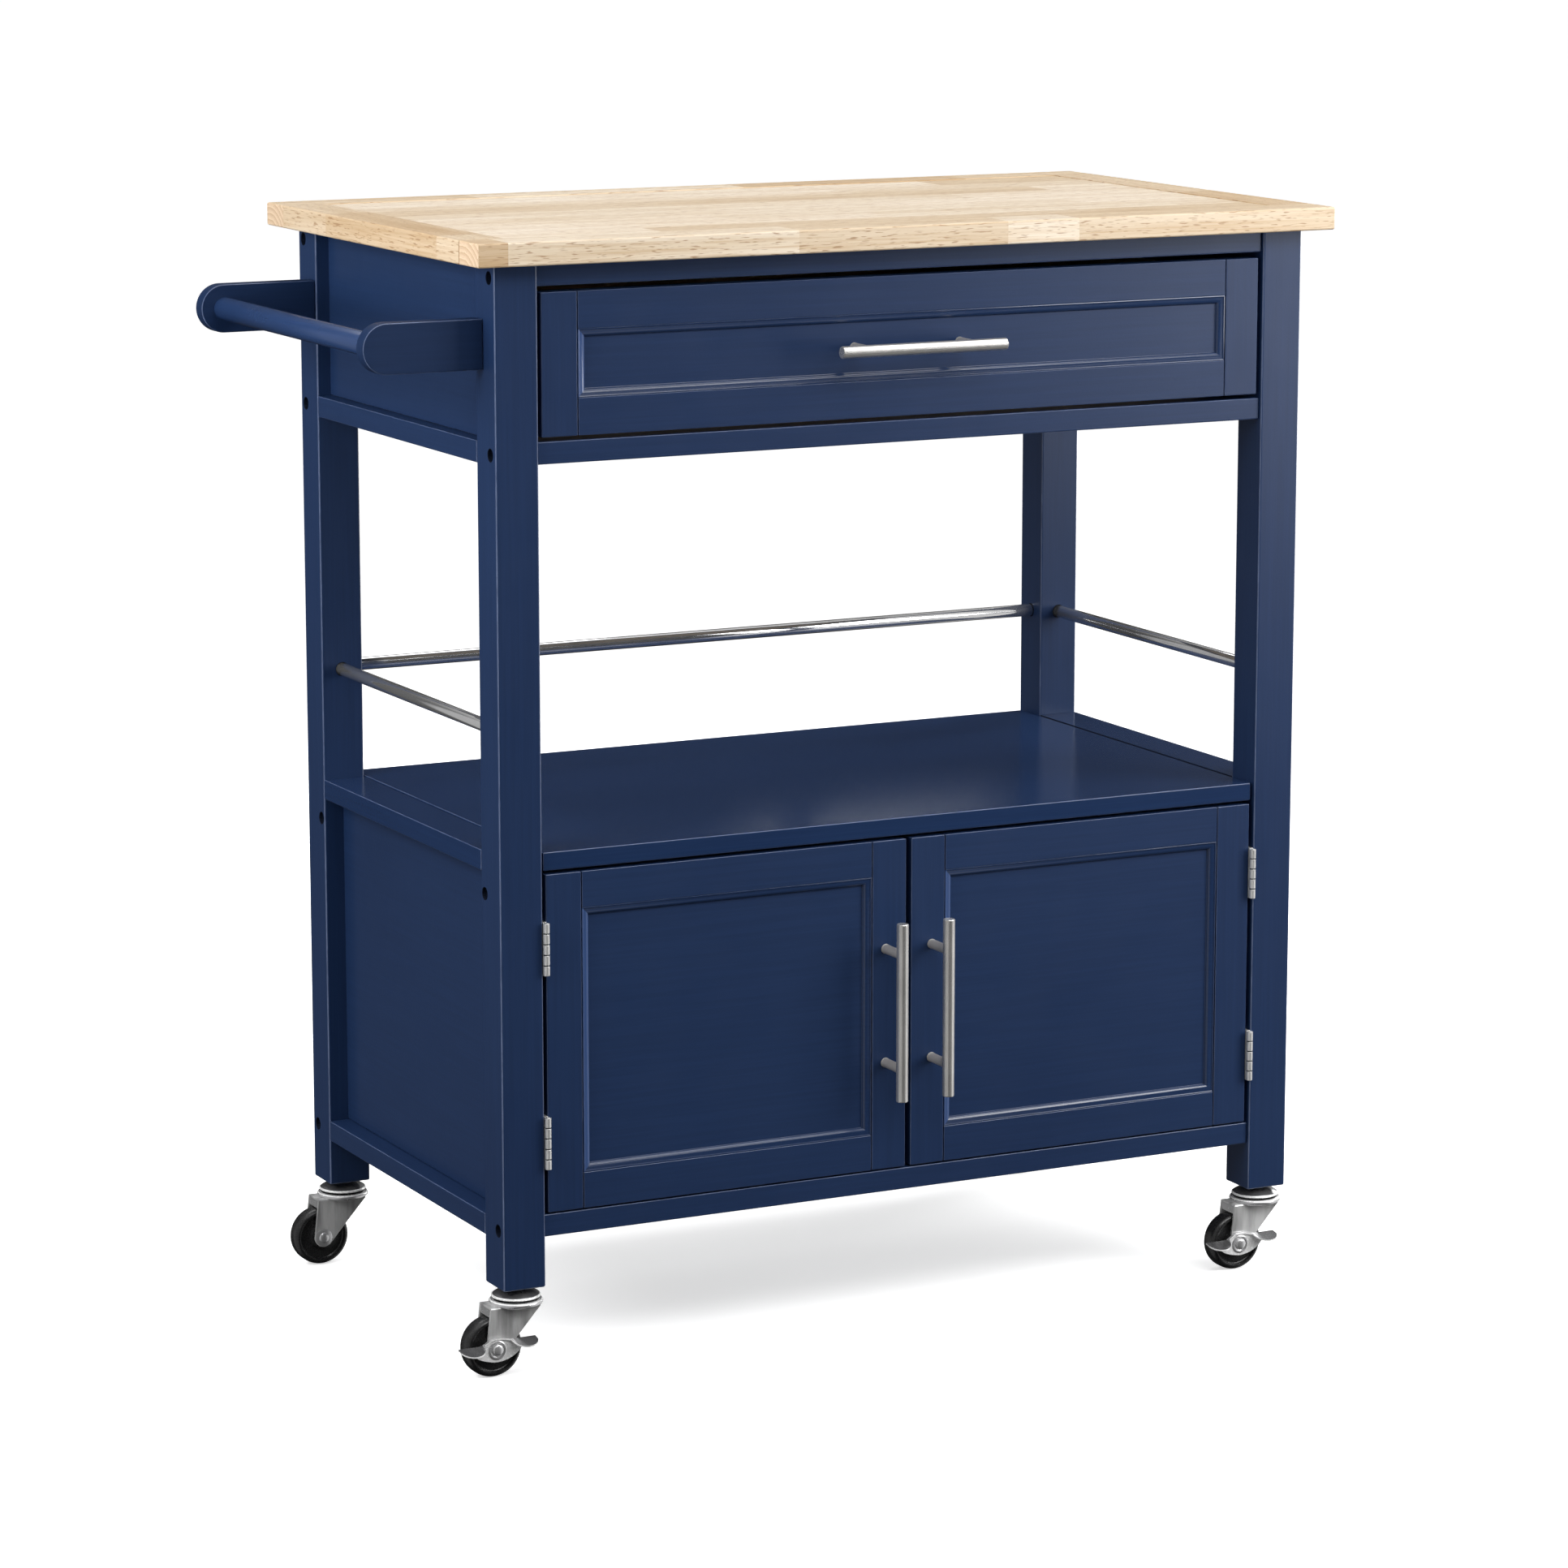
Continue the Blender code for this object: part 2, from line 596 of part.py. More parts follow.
def build_fork(name, swivel_x, swivel_y, has_brake, parent):
    """Race, crown, two cheeks and the riveted axle of one caster."""
    axle = Vector((swivel_x - TRAIL, swivel_y, AXLE_Z))
    middle = Vector((swivel_x, swivel_y, 0))
    up = Vector((0, 0, 1))
    race = add_object(name, rod_mesh(middle + up * (CROWN_Z[0] + RACE_LAP), middle + up * FORK_TOP,
                                     RACE_RADIUS, 28, RACE_RADIUS - RACE_TAPER),
                      "zinc_plate", origin=parent.location, parent=parent)

    def joined(word, bm, operation):
        tool = add_object(f"{name}_{word}", bm)
        tool.parent = parent
        tool.location = -parent.location
        combine(race, tool, operation)

    outer = CHEEK_Y[1]
    joined("crown", box_mesh((swivel_x - CROWN_BACK, swivel_y - outer, CROWN_Z[0]),
                             (swivel_x + CROWN_FRONT, swivel_y + outer, CROWN_Z[1])), "UNION")
    reach = {-1: LEVER_AXLE_REACH if has_brake else AXLE_REACH, 1: AXLE_REACH}
    for word, sign in (("front", -1), ("rear", 1)):
        low, high = sorted((swivel_y + sign * CHEEK_Y[0], swivel_y + sign * outer))
        joined(f"cheek_{word}", outline_mesh(cheek_outline(axle, swivel_x), low, high), "UNION")
        tip = axle + Vector((0, sign * reach[sign], 0))
        joined(f"rivet_{word}", rod_mesh(tip - Vector((0, sign * RIVET_THICK, 0)), tip,
                                         RIVET_RADIUS, 16, RIVET_RADIUS - RIVET_TAPER), "UNION")
    joined("axle", rod_mesh(axle - Vector((0, reach[-1] - RIVET_THICK / 2, 0)),
                            axle + Vector((0, reach[1] - RIVET_THICK / 2, 0)),
                            AXLE_RADIUS, 16), "UNION")
    over = 0.01
    joined("kingpin_hole", rod_mesh(middle + up * (CROWN_Z[0] - over),
                                    middle + up * (FORK_TOP + over),
                                    KINGPIN_RADIUS + BORE_CLEARANCE, 16), "DIFFERENCE")
    smooth(race)


def lever_plate(axle, low, high):
    """The lens-shaped plate of a brake lever, in the plane of the fork's cheek."""
    middle = axle.z + LEVER_LIFT
    outline = []
    for step in range(2 * LEVER_STEPS):
        angle = pi * step / LEVER_STEPS
        reach = LEVER_UP if step <= LEVER_STEPS else LEVER_DOWN
        outline.append((axle.x + LEVER_HALF_LENGTH * cos(angle), middle + reach * sin(angle)))
    return outline_mesh(outline, low, high)


def lever_wing(centre_x, y_root, height):
    """A round-ended wing that stands out from the lever's plate."""
    root = y_root + WING_HALF_THICK
    outline = arc((centre_x, y_root - WING_DEPTH + WING_HALF), WING_HALF, 180, 360, 12)
    outline += [(centre_x + WING_HALF, root), (centre_x - WING_HALF, root)]
    return outline_mesh(outline, height - WING_HALF_THICK, height + WING_HALF_THICK, axis="Z")


def build_lever(name, swivel_x, swivel_y, parent):
    """A rocking brake lever with two wings, pivoted on the axle."""
    axle = Vector((swivel_x - TRAIL, swivel_y, AXLE_Z))
    pivot = add_pivot(name + "_pivot", axle, parent)
    low = swivel_y - LEVER_Y[1]
    high = swivel_y - LEVER_Y[0]
    plate = add_object(name, lever_plate(axle, low, high), "zinc_plate", origin=axle)
    plate.parent = pivot
    plate.location = (0, 0, 0)
    for word, sign in (("back", -1), ("front", 1)):
        height = axle.z + WING_LIFT + sign * WING_STEP
        wing = add_object(f"{name}_wing_{word}",
                          lever_wing(axle.x + sign * WING_X, low, height))
        wing.parent = pivot
        wing.location = -axle
        combine(plate, wing, "UNION")
    over = Vector((0, 0.03, 0))
    hole = add_object(f"{name}_pivot_hole",
                      rod_mesh(axle - over, axle + over, AXLE_RADIUS + BORE_CLEARANCE, 20))
    hole.parent = pivot
    hole.location = -axle
    combine(plate, hole, "DIFFERENCE")
    smooth(plate)


def build_caster(word, side, end):
    """One swivel caster; the two at the front carry a brake lever."""
    x = side * LEG_X
    y = end * LEG_Y
    turned(f"caster_mount_{word}", mount_profile(), "zinc_plate", (x, y, 0), steps=24)
    swivel = add_pivot(f"caster_swivel_{word}", (x, y, FORK_TOP))
    has_brake = end < 0
    build_fork(f"caster_fork_{word}", x, y, has_brake, swivel)
    spin = add_pivot(f"caster_spin_{word}", (x - TRAIL, y, AXLE_Z), swivel)
    wheel = turned(f"caster_wheel_{word}", wheel_profile(), "black_rubber", (0, 0, 0),
                   axis="Y", steps=WHEEL_STEPS)
    wheel.parent = spin
    wheel.location = (0, 0, 0)
    wheel.rotation_euler = (0, pi / WHEEL_STEPS, 0)
    if has_brake:
        build_lever(f"brake_lever_{word}", x, y, swivel)


# ---- the cart --------------------------------------------------------------
clear_scene()
cart = new_collection("kitchen_island_cart")
cutters = new_collection("cutters")
materials = {name: make_material(name) for name in FINISHES}

CORNERS = {
    "front_left": (-1, -1),
    "front_right": (1, -1),
    "rear_left": (-1, 1),
    "rear_right": (1, 1),
}

build_worktop()
for corner, (across, depth) in CORNERS.items():
    build_leg(f"leg_{corner}", across, depth)
build_front_rails()
build_side("left", -1)
build_side("right", 1)
build_boards()
build_gallery()
build_towel_bar()
build_drawer()
build_door("left", -1)
build_door("right", 1)
for corner, (across, depth) in CORNERS.items():
    build_caster(corner, across, depth)
for thing in list(cart.objects) + list(cutters.objects):
    if thing.parent is None:
        thing.location += Vector(FRAME_CENTRE)
bpy.context.view_layer.update()
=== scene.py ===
"""The looks of the kitchen island cart: finely eased painted boards, a glued
light worktop, framed fronts, steel fittings and pressed casters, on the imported
model's frame. Every length is in metres.
"""

from math import cos, pi, radians, sin, sqrt, tau

import bmesh
import bpy
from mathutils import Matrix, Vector


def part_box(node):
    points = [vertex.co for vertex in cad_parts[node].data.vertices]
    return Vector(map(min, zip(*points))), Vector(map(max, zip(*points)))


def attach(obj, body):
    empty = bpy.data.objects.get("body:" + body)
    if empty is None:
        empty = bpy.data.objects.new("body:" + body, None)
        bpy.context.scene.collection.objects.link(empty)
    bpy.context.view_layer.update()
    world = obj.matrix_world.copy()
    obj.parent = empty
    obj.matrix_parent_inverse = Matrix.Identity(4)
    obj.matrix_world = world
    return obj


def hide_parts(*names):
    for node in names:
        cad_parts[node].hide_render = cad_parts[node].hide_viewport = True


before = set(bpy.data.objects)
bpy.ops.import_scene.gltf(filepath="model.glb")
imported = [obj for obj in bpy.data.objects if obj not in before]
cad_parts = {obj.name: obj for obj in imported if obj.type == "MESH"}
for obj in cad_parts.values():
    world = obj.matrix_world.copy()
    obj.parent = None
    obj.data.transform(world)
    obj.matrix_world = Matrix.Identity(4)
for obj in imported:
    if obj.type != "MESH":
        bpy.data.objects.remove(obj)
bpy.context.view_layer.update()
MM = 0.001
SIDES = (("left", -1), ("right", 1))
CORNERS = (("front_left", -1, -1), ("front_right", 1, -1),
           ("rear_left", -1, 1), ("rear_right", 1, 1))


# ---- node materials ----
def put(node, **values):
    """Sets a node's sockets, with _ for a space in their names."""
    for key, value in values.items():
        node.inputs[key.replace("_", " ")].default_value = value


class Shader:
    """A small helper that adds nodes to one material and joins them."""

    def __init__(self, name):
        self.material = bpy.data.materials.new(name)
        self.material.use_nodes = True
        self.tree = self.material.node_tree
        self.bsdf = self.tree.nodes["Principled BSDF"]

    def add(self, kind, **settings):
        node = self.tree.nodes.new("ShaderNode" + kind)
        for key, value in settings.items():
            setattr(node, key, value)
        return node

    def join(self, source, target):
        self.tree.links.new(source, target)

    def set(self, **values):
        put(self.bsdf, **values)

    def place(self, scale=1.0, shift=(0, 0, 0)):
        """The piece's own coordinates, scaled evenly or, with three scales, stretched."""
        coords = self.add("TexCoord")
        mapping = self.add("Mapping")
        put(mapping, Scale=scale if isinstance(scale, tuple) else [scale] * 3, Location=shift)
        self.join(coords.outputs["Object"], mapping.inputs["Vector"])
        return mapping.outputs["Vector"]

    def noise(self, scale, shift=(0, 0, 0), detail=3.0, roughness=0.5, distortion=0.0):
        node = self.add("TexNoise")
        put(node, Scale=1.0, Detail=detail, Roughness=roughness, Distortion=distortion)
        self.join(self.place(scale, shift), node.inputs["Vector"])
        return node.outputs["Fac"]

    def ramp(self, value, stops):
        """A colour or grey for each value: stops are (position, colour or grey)."""
        node = self.add("ValToRGB")
        points = node.color_ramp.elements
        while len(points) < len(stops):
            points.new(0.5)
        for point, (position, colour) in zip(points, stops):
            point.position = position
            if not isinstance(colour, tuple):
                colour = (colour, colour, colour)
            point.color = (*colour, 1.0)
        self.join(value, node.inputs["Fac"])
        return node.outputs["Color"]

    def mix(self, factor, first, second, blend="MIX"):
        node = self.add("Mix", data_type="RGBA", blend_type=blend)
        for socket, value in ((node.inputs[0], factor), (node.inputs[6], first),
                              (node.inputs[7], second)):
            if isinstance(value, bpy.types.NodeSocket):
                self.join(value, socket)
            elif isinstance(value, tuple):
                socket.default_value = (*value, 1.0)
            else:
                socket.default_value = value
        return node.outputs[2]

    def colour(self, source):
        self.join(source, self.bsdf.inputs["Base Color"])

    def rough(self, source, low, high):
        node = self.add("MapRange")
        put(node, To_Min=low, To_Max=high)
        self.join(source, node.inputs["Value"])
        self.join(node.outputs["Result"], self.bsdf.inputs["Roughness"])

    def bump(self, height, distance, strength=1.0, under=None):
        node = self.add("Bump")
        put(node, Strength=strength, Distance=distance)
        self.join(height, node.inputs["Height"])
        if under is not None:
            self.join(under, node.inputs["Normal"])
        self.join(node.outputs["Normal"], self.bsdf.inputs["Normal"])
        return node.outputs["Normal"]


def scaled(colour, factor):
    return tuple(part * factor for part in colour)


def stretched(axis, along, across):
    """Scales that draw a pattern out along one axis."""
    scale = [across, across, across]
    scale[axis] = along
    return tuple(scale)


def navy_paint(name, axis, low=0.30, high=0.42, level=0.22, lift=1.0):
    """Satin navy lacquer over sanded wood, whose grain just shows through."""
    s = Shader(name)
    wide = s.noise(2.2, (0.3, 0.7, 0.1), detail=2.0)
    # lift scales the colour: above one it is painted light, below one painted shade
    tone = s.ramp(wide, ((0.30, scaled((0.0130, 0.0303, 0.0868), lift)),
                         (0.72, scaled((0.0156, 0.0357, 0.0988), lift))))
    grain = s.noise(stretched(axis, 9.0, 420.0), detail=3.0, roughness=0.6)
    streak = s.ramp(grain, ((0.38, 0.90), (0.66, 1.0)))
    s.colour(s.mix(1.0, tone, streak, "MULTIPLY"))
    s.rough(s.noise(30.0, detail=4.0), low, high)
    peel = s.noise(650.0, detail=1.0)
    under = s.bump(peel, 0.00006, 0.5)
    s.bump(grain, 0.00005, 0.6, under)
    s.set(Specular_IOR_Level=level)
    return s.material


def mottled(name, scale, detail, stops, low, high, level):
    """A finish whose colour and roughness vary together."""
    s = Shader(name)
    cloud = s.noise(scale, detail=detail)
    s.colour(s.ramp(cloud, stops))
    s.rough(cloud, low, high)
    s.set(Specular_IOR_Level=level)
    return s.material


def rubberwood(name, axis, tone, shift):
    """Pale plantation wood: fine straight streaks, soft bands and pore dashes."""
    s = Shader(name)
    bands = s.noise(stretched(axis, 2.5, 60.0), shift, detail=3.0)
    light = tuple(min(1.0, c * 1.05) for c in tone)
    deep = tuple(c * k for c, k in zip(tone, (0.91, 0.85, 0.76)))
    base = s.ramp(bands, ((0.32, deep), (0.62, light)))
    streaks = s.noise(stretched(axis, 11.0, 520.0), shift, detail=4.0, roughness=0.62)
    lines = s.ramp(streaks, ((0.32, (0.80, 0.69, 0.55)), (0.56, (1.0, 1.0, 1.0))))
    base = s.mix(0.8, base, lines, "MULTIPLY")
    pores = s.noise(stretched(axis, 85.0, 820.0), shift, detail=1.5)
    dashes = s.ramp(pores, ((0.585, 0.0), (0.67, 0.75)))
    base = s.mix(dashes, base, (0.36, 0.20, 0.095))
    s.colour(base)
    s.rough(streaks, 0.40, 0.55)
    fill = s.bump(s.ramp(pores, ((0.56, 1.0), (0.68, 0.0))), 0.00008, 0.5)
    s.bump(streaks, 0.00005, 0.5, fill)
    s.set(Specular_IOR_Level=0.40)
    return s.material


def end_grain(name, centre):
    """The growth rings on the cut ends of the worktop's rails."""
    s = Shader(name)
    here = s.place(1.0, tuple(-c for c in centre))
    rings = s.add("TexWave", wave_type="RINGS", wave_profile="SAW")
    rings.rings_direction = "X"
    put(rings, Scale=62.0, Distortion=1.6, Detail=3.0, Detail_Scale=1.5)
    s.join(here, rings.inputs["Vector"])
    base = s.ramp(rings.outputs["Fac"], ((0.10, (0.78, 0.61, 0.44)), (0.92, (0.60, 0.42, 0.265))))
    pores = s.noise(1500.0, detail=1.0)
    s.colour(s.mix(s.ramp(pores, ((0.60, 0.0), (0.72, 1.0))), base, (0.36, 0.22, 0.12)))
    s.rough(pores, 0.5, 0.62)
    s.bump(pores, 0.00006, 0.4)
    return s.material


def drawer_timber(name, axis):
    """Clear-lacquered light wood of the drawer box and its runner."""
    s = Shader(name)
    bands = s.noise(stretched(axis, 3.0, 70.0), (0.2, 0.1, 0.4), detail=4.0, distortion=0.4)
    base = s.ramp(bands, ((0.34, (0.56, 0.40, 0.24)), (0.66, (0.72, 0.56, 0.37))))
    fibres = s.noise(stretched(axis, 18.0, 800.0), detail=3.0)
    s.colour(s.mix(0.6, base, s.ramp(fibres, ((0.3, 0.80), (0.6, 1.0))), "MULTIPLY"))
    s.rough(fibres, 0.48, 0.62)
    s.bump(fibres, 0.00006, 0.5)
    return s.material


def metal(name, colour, low, high, axis=None, fine=900.0, dirt=0.10, bare=1.0, patches=45.0):
    """Bare or plated steel, brushed along the axis if there is one.

    Patches of it are darker by the share called dirt, and bare is how metallic it is.
    """
    s = Shader(name)
    if axis is None:
        grain = s.noise(fine, detail=2.0)
    else:
        grain = s.noise(stretched(axis, 14.0, fine * 3.0), detail=2.0)
    cloud = s.noise(patches, (0.1, 0.5, 0.2), detail=4.0)
    s.colour(s.ramp(cloud, ((0.35, scaled(colour, 1.0 - dirt)), (0.65, colour))))
    s.rough(grain, low, high)
    s.bump(grain, 0.00002, 0.5)
    s.set(Metallic=bare)
    return s.material


def moulded_black(name):
    """Hard black wheel plastic, slightly scuffed."""
    s = Shader(name)
    cloud = s.noise(140.0, detail=4.0)
    s.colour(s.ramp(cloud, ((0.3, (0.0105, 0.0105, 0.0110)), (0.7, (0.0200, 0.0200, 0.0205)))))
    s.rough(s.noise(500.0, detail=3.0), 0.20, 0.34)
    s.bump(s.noise(1300.0, detail=2.0), 0.00004, 0.5)
    s.set(Specular_IOR_Level=0.60)
    return s.material


def pale_stage(name, scale, detail, greys, glow, roughness, level):
    """The even, pale finish of the floor or the backdrop, which shines a little itself."""
    s = Shader(name)
    cloud = s.noise(scale, detail=detail)
    pale = s.ramp(cloud, ((0.3, greys[0]), (0.7, greys[1])))
    s.colour(pale)
    s.join(pale, s.bsdf.inputs["Emission Color"])
    s.set(Emission_Strength=glow, Roughness=roughness, Specular_IOR_Level=level)
    return s.material


def on_each_axis(maker, name, *values, **settings):
    """The same finish three times, with its grain along x, y and z."""
    return [maker(f"{name}_{word}", *values, axis=axis, **settings)
            for axis, word in enumerate("xyz")]


NAVY = on_each_axis(navy_paint, "navy_paint")
MOULDING = navy_paint("navy_paint_moulding", 0, 0.16, 0.24, 0.80)
# the left upright of each moulding: the same navy lifted 2.3 times, painted light as from a lamp
# on the right
MOULDING_LIT = navy_paint("navy_paint_moulding_painted_light", 2, 0.16, 0.24, 0.80, 2.3)
SHELF_PAINT = [navy_paint("navy_paint_shelf_x", 0, 0.15, 0.21),
               navy_paint("navy_paint_shelf_y", 1, 0.15, 0.21)]
# a lighter, glossier navy on the eased edges of the painted wood: a painted highlight along the
# arrises
ARRIS_HIGHLIGHT = mottled("navy_paint_arris_painted_highlight", 60.0, 3.0,
                ((0.30, (0.060, 0.088, 0.175)), (0.62, (0.100, 0.135, 0.240))), 0.16, 0.26, 0.8)
# near-black navy on the walls of holes and gaps: painted shade
HOLE = mottled("navy_hole_painted_shade", 700.0, 2.0,
               ((0.3, (0.0030, 0.0055, 0.0130)), (0.7, (0.0055, 0.0095, 0.0220))), 0.6, 0.75, 0.15)
TONES = {
    "cream": (0.850, 0.760, 0.645),
    "pale": (0.810, 0.715, 0.590),
    "honey": (0.705, 0.580, 0.430),
    "tan": (0.630, 0.485, 0.325),
}
WOOD = {}
for number, (word, tone) in enumerate(TONES.items()):
    for axis in (0, 1):
        WOOD[word, axis] = rubberwood(f"rubberwood_{word}_{'xy'[axis]}", axis, tone,
                                      (0.31 * number, 0.17 * number, 0.05 * number))
# the dowel's navy is lifted 1.4 times, painted light; the arms' navy is lowered to 0.8, painted
# shade
DOWEL_PAINT = navy_paint("navy_paint_dowel_painted_light", 1, 0.22, 0.30, 0.60, 1.4)
ARM_PAINT = navy_paint("navy_paint_arm_painted_shade", 0, lift=0.8)
DRAWER_WOOD = on_each_axis(drawer_timber, "drawer_wood")
NICKEL = on_each_axis(metal, "brushed_nickel", (0.78, 0.765, 0.74), 0.20, 0.34, bare=0.80)
STEEL = on_each_axis(metal, "polished_steel", (0.86, 0.86, 0.865), 0.05, 0.11, dirt=0.05,
                     bare=0.88)
PLATING = 420.0             # how fine the grain of the zinc plating is
ZINC = metal("zinc_plate", (0.80, 0.80, 0.81), 0.16, 0.32, None, PLATING, 0.14, 0.72)
# lighter zinc, a painted highlight on rims and the lever's face and edges; the shaded zinc below
# is painted shade
ZINC_HIGHLIGHT = metal("zinc_plate_painted_highlight", (0.95, 0.95, 0.95), 0.20, 0.34, None, PLATING, 0.06,
                    0.20)
SHADE_ZINC = metal("zinc_plate_shaded", (0.20, 0.20, 0.205), 0.16, 0.30, None, PLATING, bare=0.70)
# a lighter, less metallic copy of the zinc for the fork's cheeks: painted light; its darker
# patches are stretched up and down
CHEEK_ZINC = metal("zinc_plate_cheek_painted_light", (0.93, 0.93, 0.93), 0.16, 0.30, None, PLATING, 0.55,
                   0.50, (110.0, 110.0, 16.0))
PLATED = [ZINC, ZINC_HIGHLIGHT, SHADE_ZINC]
POST_NICKEL = metal("brushed_nickel_posts", (0.62, 0.59, 0.55), 0.26, 0.40, 1, bare=0.55)
DARK_STEEL = metal("black_bolt_steel", (0.024, 0.025, 0.029), 0.36, 0.52)
HINGE_NICKEL = metal("hinge_nickel", (0.84, 0.84, 0.83), 0.16, 0.28, bare=0.60)
BLACK = moulded_black("wheel_black")
FLOOR = pale_stage("floor_pale", 1.5, 2.0, (0.865, 0.885), 0.58, 0.9, 0.1)
BACKDROP = pale_stage("backdrop_pale", 0.1, 1.0, (0.90, 0.92), 1.10, 1.0, 0.0)


# ---- mesh helpers ----
def to_object(name, bm, materials):
    """Makes a smooth-shaded object of a bmesh, with its faces turned outwards."""
    bmesh.ops.remove_doubles(bm, verts=bm.verts, dist=1e-7)
    bmesh.ops.recalc_face_normals(bm, faces=bm.faces)
    for face in bm.faces:
        face.smooth = True
    mesh = bpy.data.meshes.new(name)
    bm.to_mesh(mesh)
    bm.free()
    for material in materials:
        mesh.materials.append(material)
    thing = bpy.data.objects.new(name, mesh)
    bpy.context.scene.collection.objects.link(thing)
    return thing


def settle(thing):
    """Turns a piece's modifiers into plain mesh."""
    graph = bpy.context.evaluated_depsgraph_get()
    graph.update()
    mesh = bpy.data.meshes.new_from_object(thing.evaluated_get(graph),
                                           preserve_all_data_layers=True, depsgraph=graph)
    old = thing.data
    thing.modifiers.clear()
    thing.data = mesh
    bpy.data.meshes.remove(old)
    mesh.name = thing.name
    return thing


def ease(thing, width, segments=3, by_weight=False, angle=30):
    """Rounds the edges finely, with the flats kept flat."""
    bevel = thing.modifiers.new("ease", "BEVEL")
    bevel.width = width
    bevel.segments = segments
    bevel.limit_method = "WEIGHT" if by_weight else "ANGLE"
    bevel.angle_limit = radians(angle)
    bevel.harden_normals = True
    return settle(thing)


def refinish(thing, material, chosen):
    """Gives the faces whose normals are chosen another finish."""
    thing.data.materials.append(material)
    last = len(thing.data.materials) - 1
    for face in thing.data.polygons:
        if chosen(face.normal):
            face.material_index = last


def is_slanted(normal):
    """True in the middle of an eased edge, which looks along none of the axes."""
    return max(abs(part) for part in normal) < 0.92


def crisp(thing, angle=35):
    """Smooth, with edges sharper than the angle kept sharp."""
    thing.data.shade_smooth()
    thing.data.set_sharp_from_angle(angle=radians(angle))
    return thing


def dress(thing, body, nodes):
    """Rides on its body and hides the CAD nodes it stands for."""
    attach(thing, body)
    if nodes:
        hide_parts(*nodes)


def point_at(axis, along, u, v):
    """The point at a distance along one axis and u, v on the two others, in their order."""
    parts = [u, v]
    parts.insert(axis, along)
    return Vector(parts)


def bridge(bm, near, far):
    """Joins two rings of points, or a ring and a tip, and returns the faces."""
    steps = max(len(near), len(far))
    faces = []
    for k in range(steps):
        after = (k + 1) % steps
        if len(near) == 1:
            corners = (near[0], far[k], far[after])
        elif len(far) == 1:
            corners = (near[k], near[after], far[0])
        else:
            corners = (near[k], near[after], far[after], far[k])
        faces.append(bm.faces.new(corners))
    return faces


def beam_mesh(low, high, axis=0, cuts=()):
    """A closed box, cut across one axis so that its lengths can differ in tone."""
    bm = bmesh.new()
    first, second = [i for i in range(3) if i != axis]
    rings = []
    for station in [low[axis], *sorted(cuts), high[axis]]:
        ring = []
        for u, v in ((low[first], low[second]), (high[first], low[second]),
                     (high[first], high[second]), (low[first], high[second])):
            ring.append(bm.verts.new(point_at(axis, station, u, v)))
        rings.append(ring)
    bm.faces.new(rings[0])
    bm.faces.new(rings[-1])
    for index, (near, far) in enumerate(zip(rings, rings[1:])):
        for face in bridge(bm, near, far):
            face.material_index = index
    return bm


def plank(name, low, high, materials, width=1.1 * MM, segments=3):
    """A board with all its edges eased; its grain runs along its longest side."""
    low, high = Vector(low), Vector(high)
    size = high - low
    axis = max(range(3), key=lambda i: size[i])
    board = ease(to_object(name, beam_mesh(low, high), [materials[axis]]), width, segments)
    # the eased edges of painted boards take the lighter navy, a painted highlight
    if materials[axis] in NAVY + SHELF_PAINT:
        refinish(board, ARRIS_HIGHLIGHT, is_slanted)
    return board


def in_mm(points):
    return [(u * MM, v * MM) for u, v in points]


def ring_points(centre, direction, radius, height, steps):
    """Points on a circle round the direction, at a height along it."""
    turn = Vector(direction).to_track_quat("Z", "Y").to_matrix()
    points = []
    for step in range(steps):
        angle = tau * step / steps
        points.append(Vector(centre) + turn @ Vector((radius * cos(angle), radius * sin(angle),
                                                      height)))
    return points


def turn_into(bm, profile, centre, direction=(0, 0, 1), steps=48, material=0):
    """Adds a turned solid: (radius, height) points along the direction, closed on the axis
    or, where neither end is on the axis, from the last point back to the first."""
    rings = []
    for radius, height in profile:
        count = steps if radius > 0 else 1
        rings.append([bm.verts.new(point) for point in
                      ring_points(centre, direction, radius, height, count)])
    pairs = list(zip(rings, rings[1:]))
    if len(rings[0]) > 1 and len(rings[-1]) > 1:
        pairs.append((rings[-1], rings[0]))
    for near, far in pairs:
        for face in bridge(bm, near, far):
            face.material_index = material
    return bm


def turned(name, profile, centre, direction, material, steps=48, angle=35):
    """A turned solid as an object of its own."""
    bm = turn_into(bmesh.new(), profile, centre, direction, steps)
    return crisp(to_object(name, bm, [material]), angle)


def rod_profile(length, radius, chamfer=0.0006):
    """A bar with small rounded arrises at both ends."""
    inner = radius - chamfer
    soft = chamfer * 0.35
    return [(0, 0), (inner, 0), (radius - soft, soft), (radius, chamfer),
            (radius, length - chamfer), (radius - soft, length - soft), (inner, length),
            (0, length)]


def dome_profile(radius, height, rim=0.0004, steps=6):
    """A round rivet or bolt head, from its rim up to its crown."""
    points = [(0, 0), (radius, 0), (radius, rim)]
    for step in range(1, steps + 1):
        angle = pi / 2 * step / steps
        points.append((radius * cos(angle) if step < steps else 0,
                       rim + (height - rim) * sin(angle)))
    return points


def prism_mesh(outline, low, high):
    """An outline in x and z, made solid from one y to another."""
    bm = bmesh.new()
    layers = []
    for level in (low, high):
        layers.append([bm.verts.new((x, level, z)) for x, z in outline])
    bm.faces.new(layers[0])
    bm.faces.new(layers[1])
    bridge(bm, *layers)
    return bm


def arc(centre, radius, start, end, steps):
    """Points on an arc between two angles in degrees."""
    points = []
    for step in range(steps + 1):
        angle = radians(start + (end - start) * step / steps)
        points.append((centre[0] + radius * cos(angle), centre[1] + radius * sin(angle)))
    return points


# ---- worktop ----
TOUCH = 1e-6                # points closer than this lie on the same face
BORDER = 38 * MM
STEP = 0.9 * MM             # the middle panel lies this much below the border
TOP_LOW, TOP_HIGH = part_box("worktop")
TOP_MIDDLE = (TOP_LOW + TOP_HIGH) / 2


def tone_list(words, axis):
    return [WOOD[word, axis] for word in words]


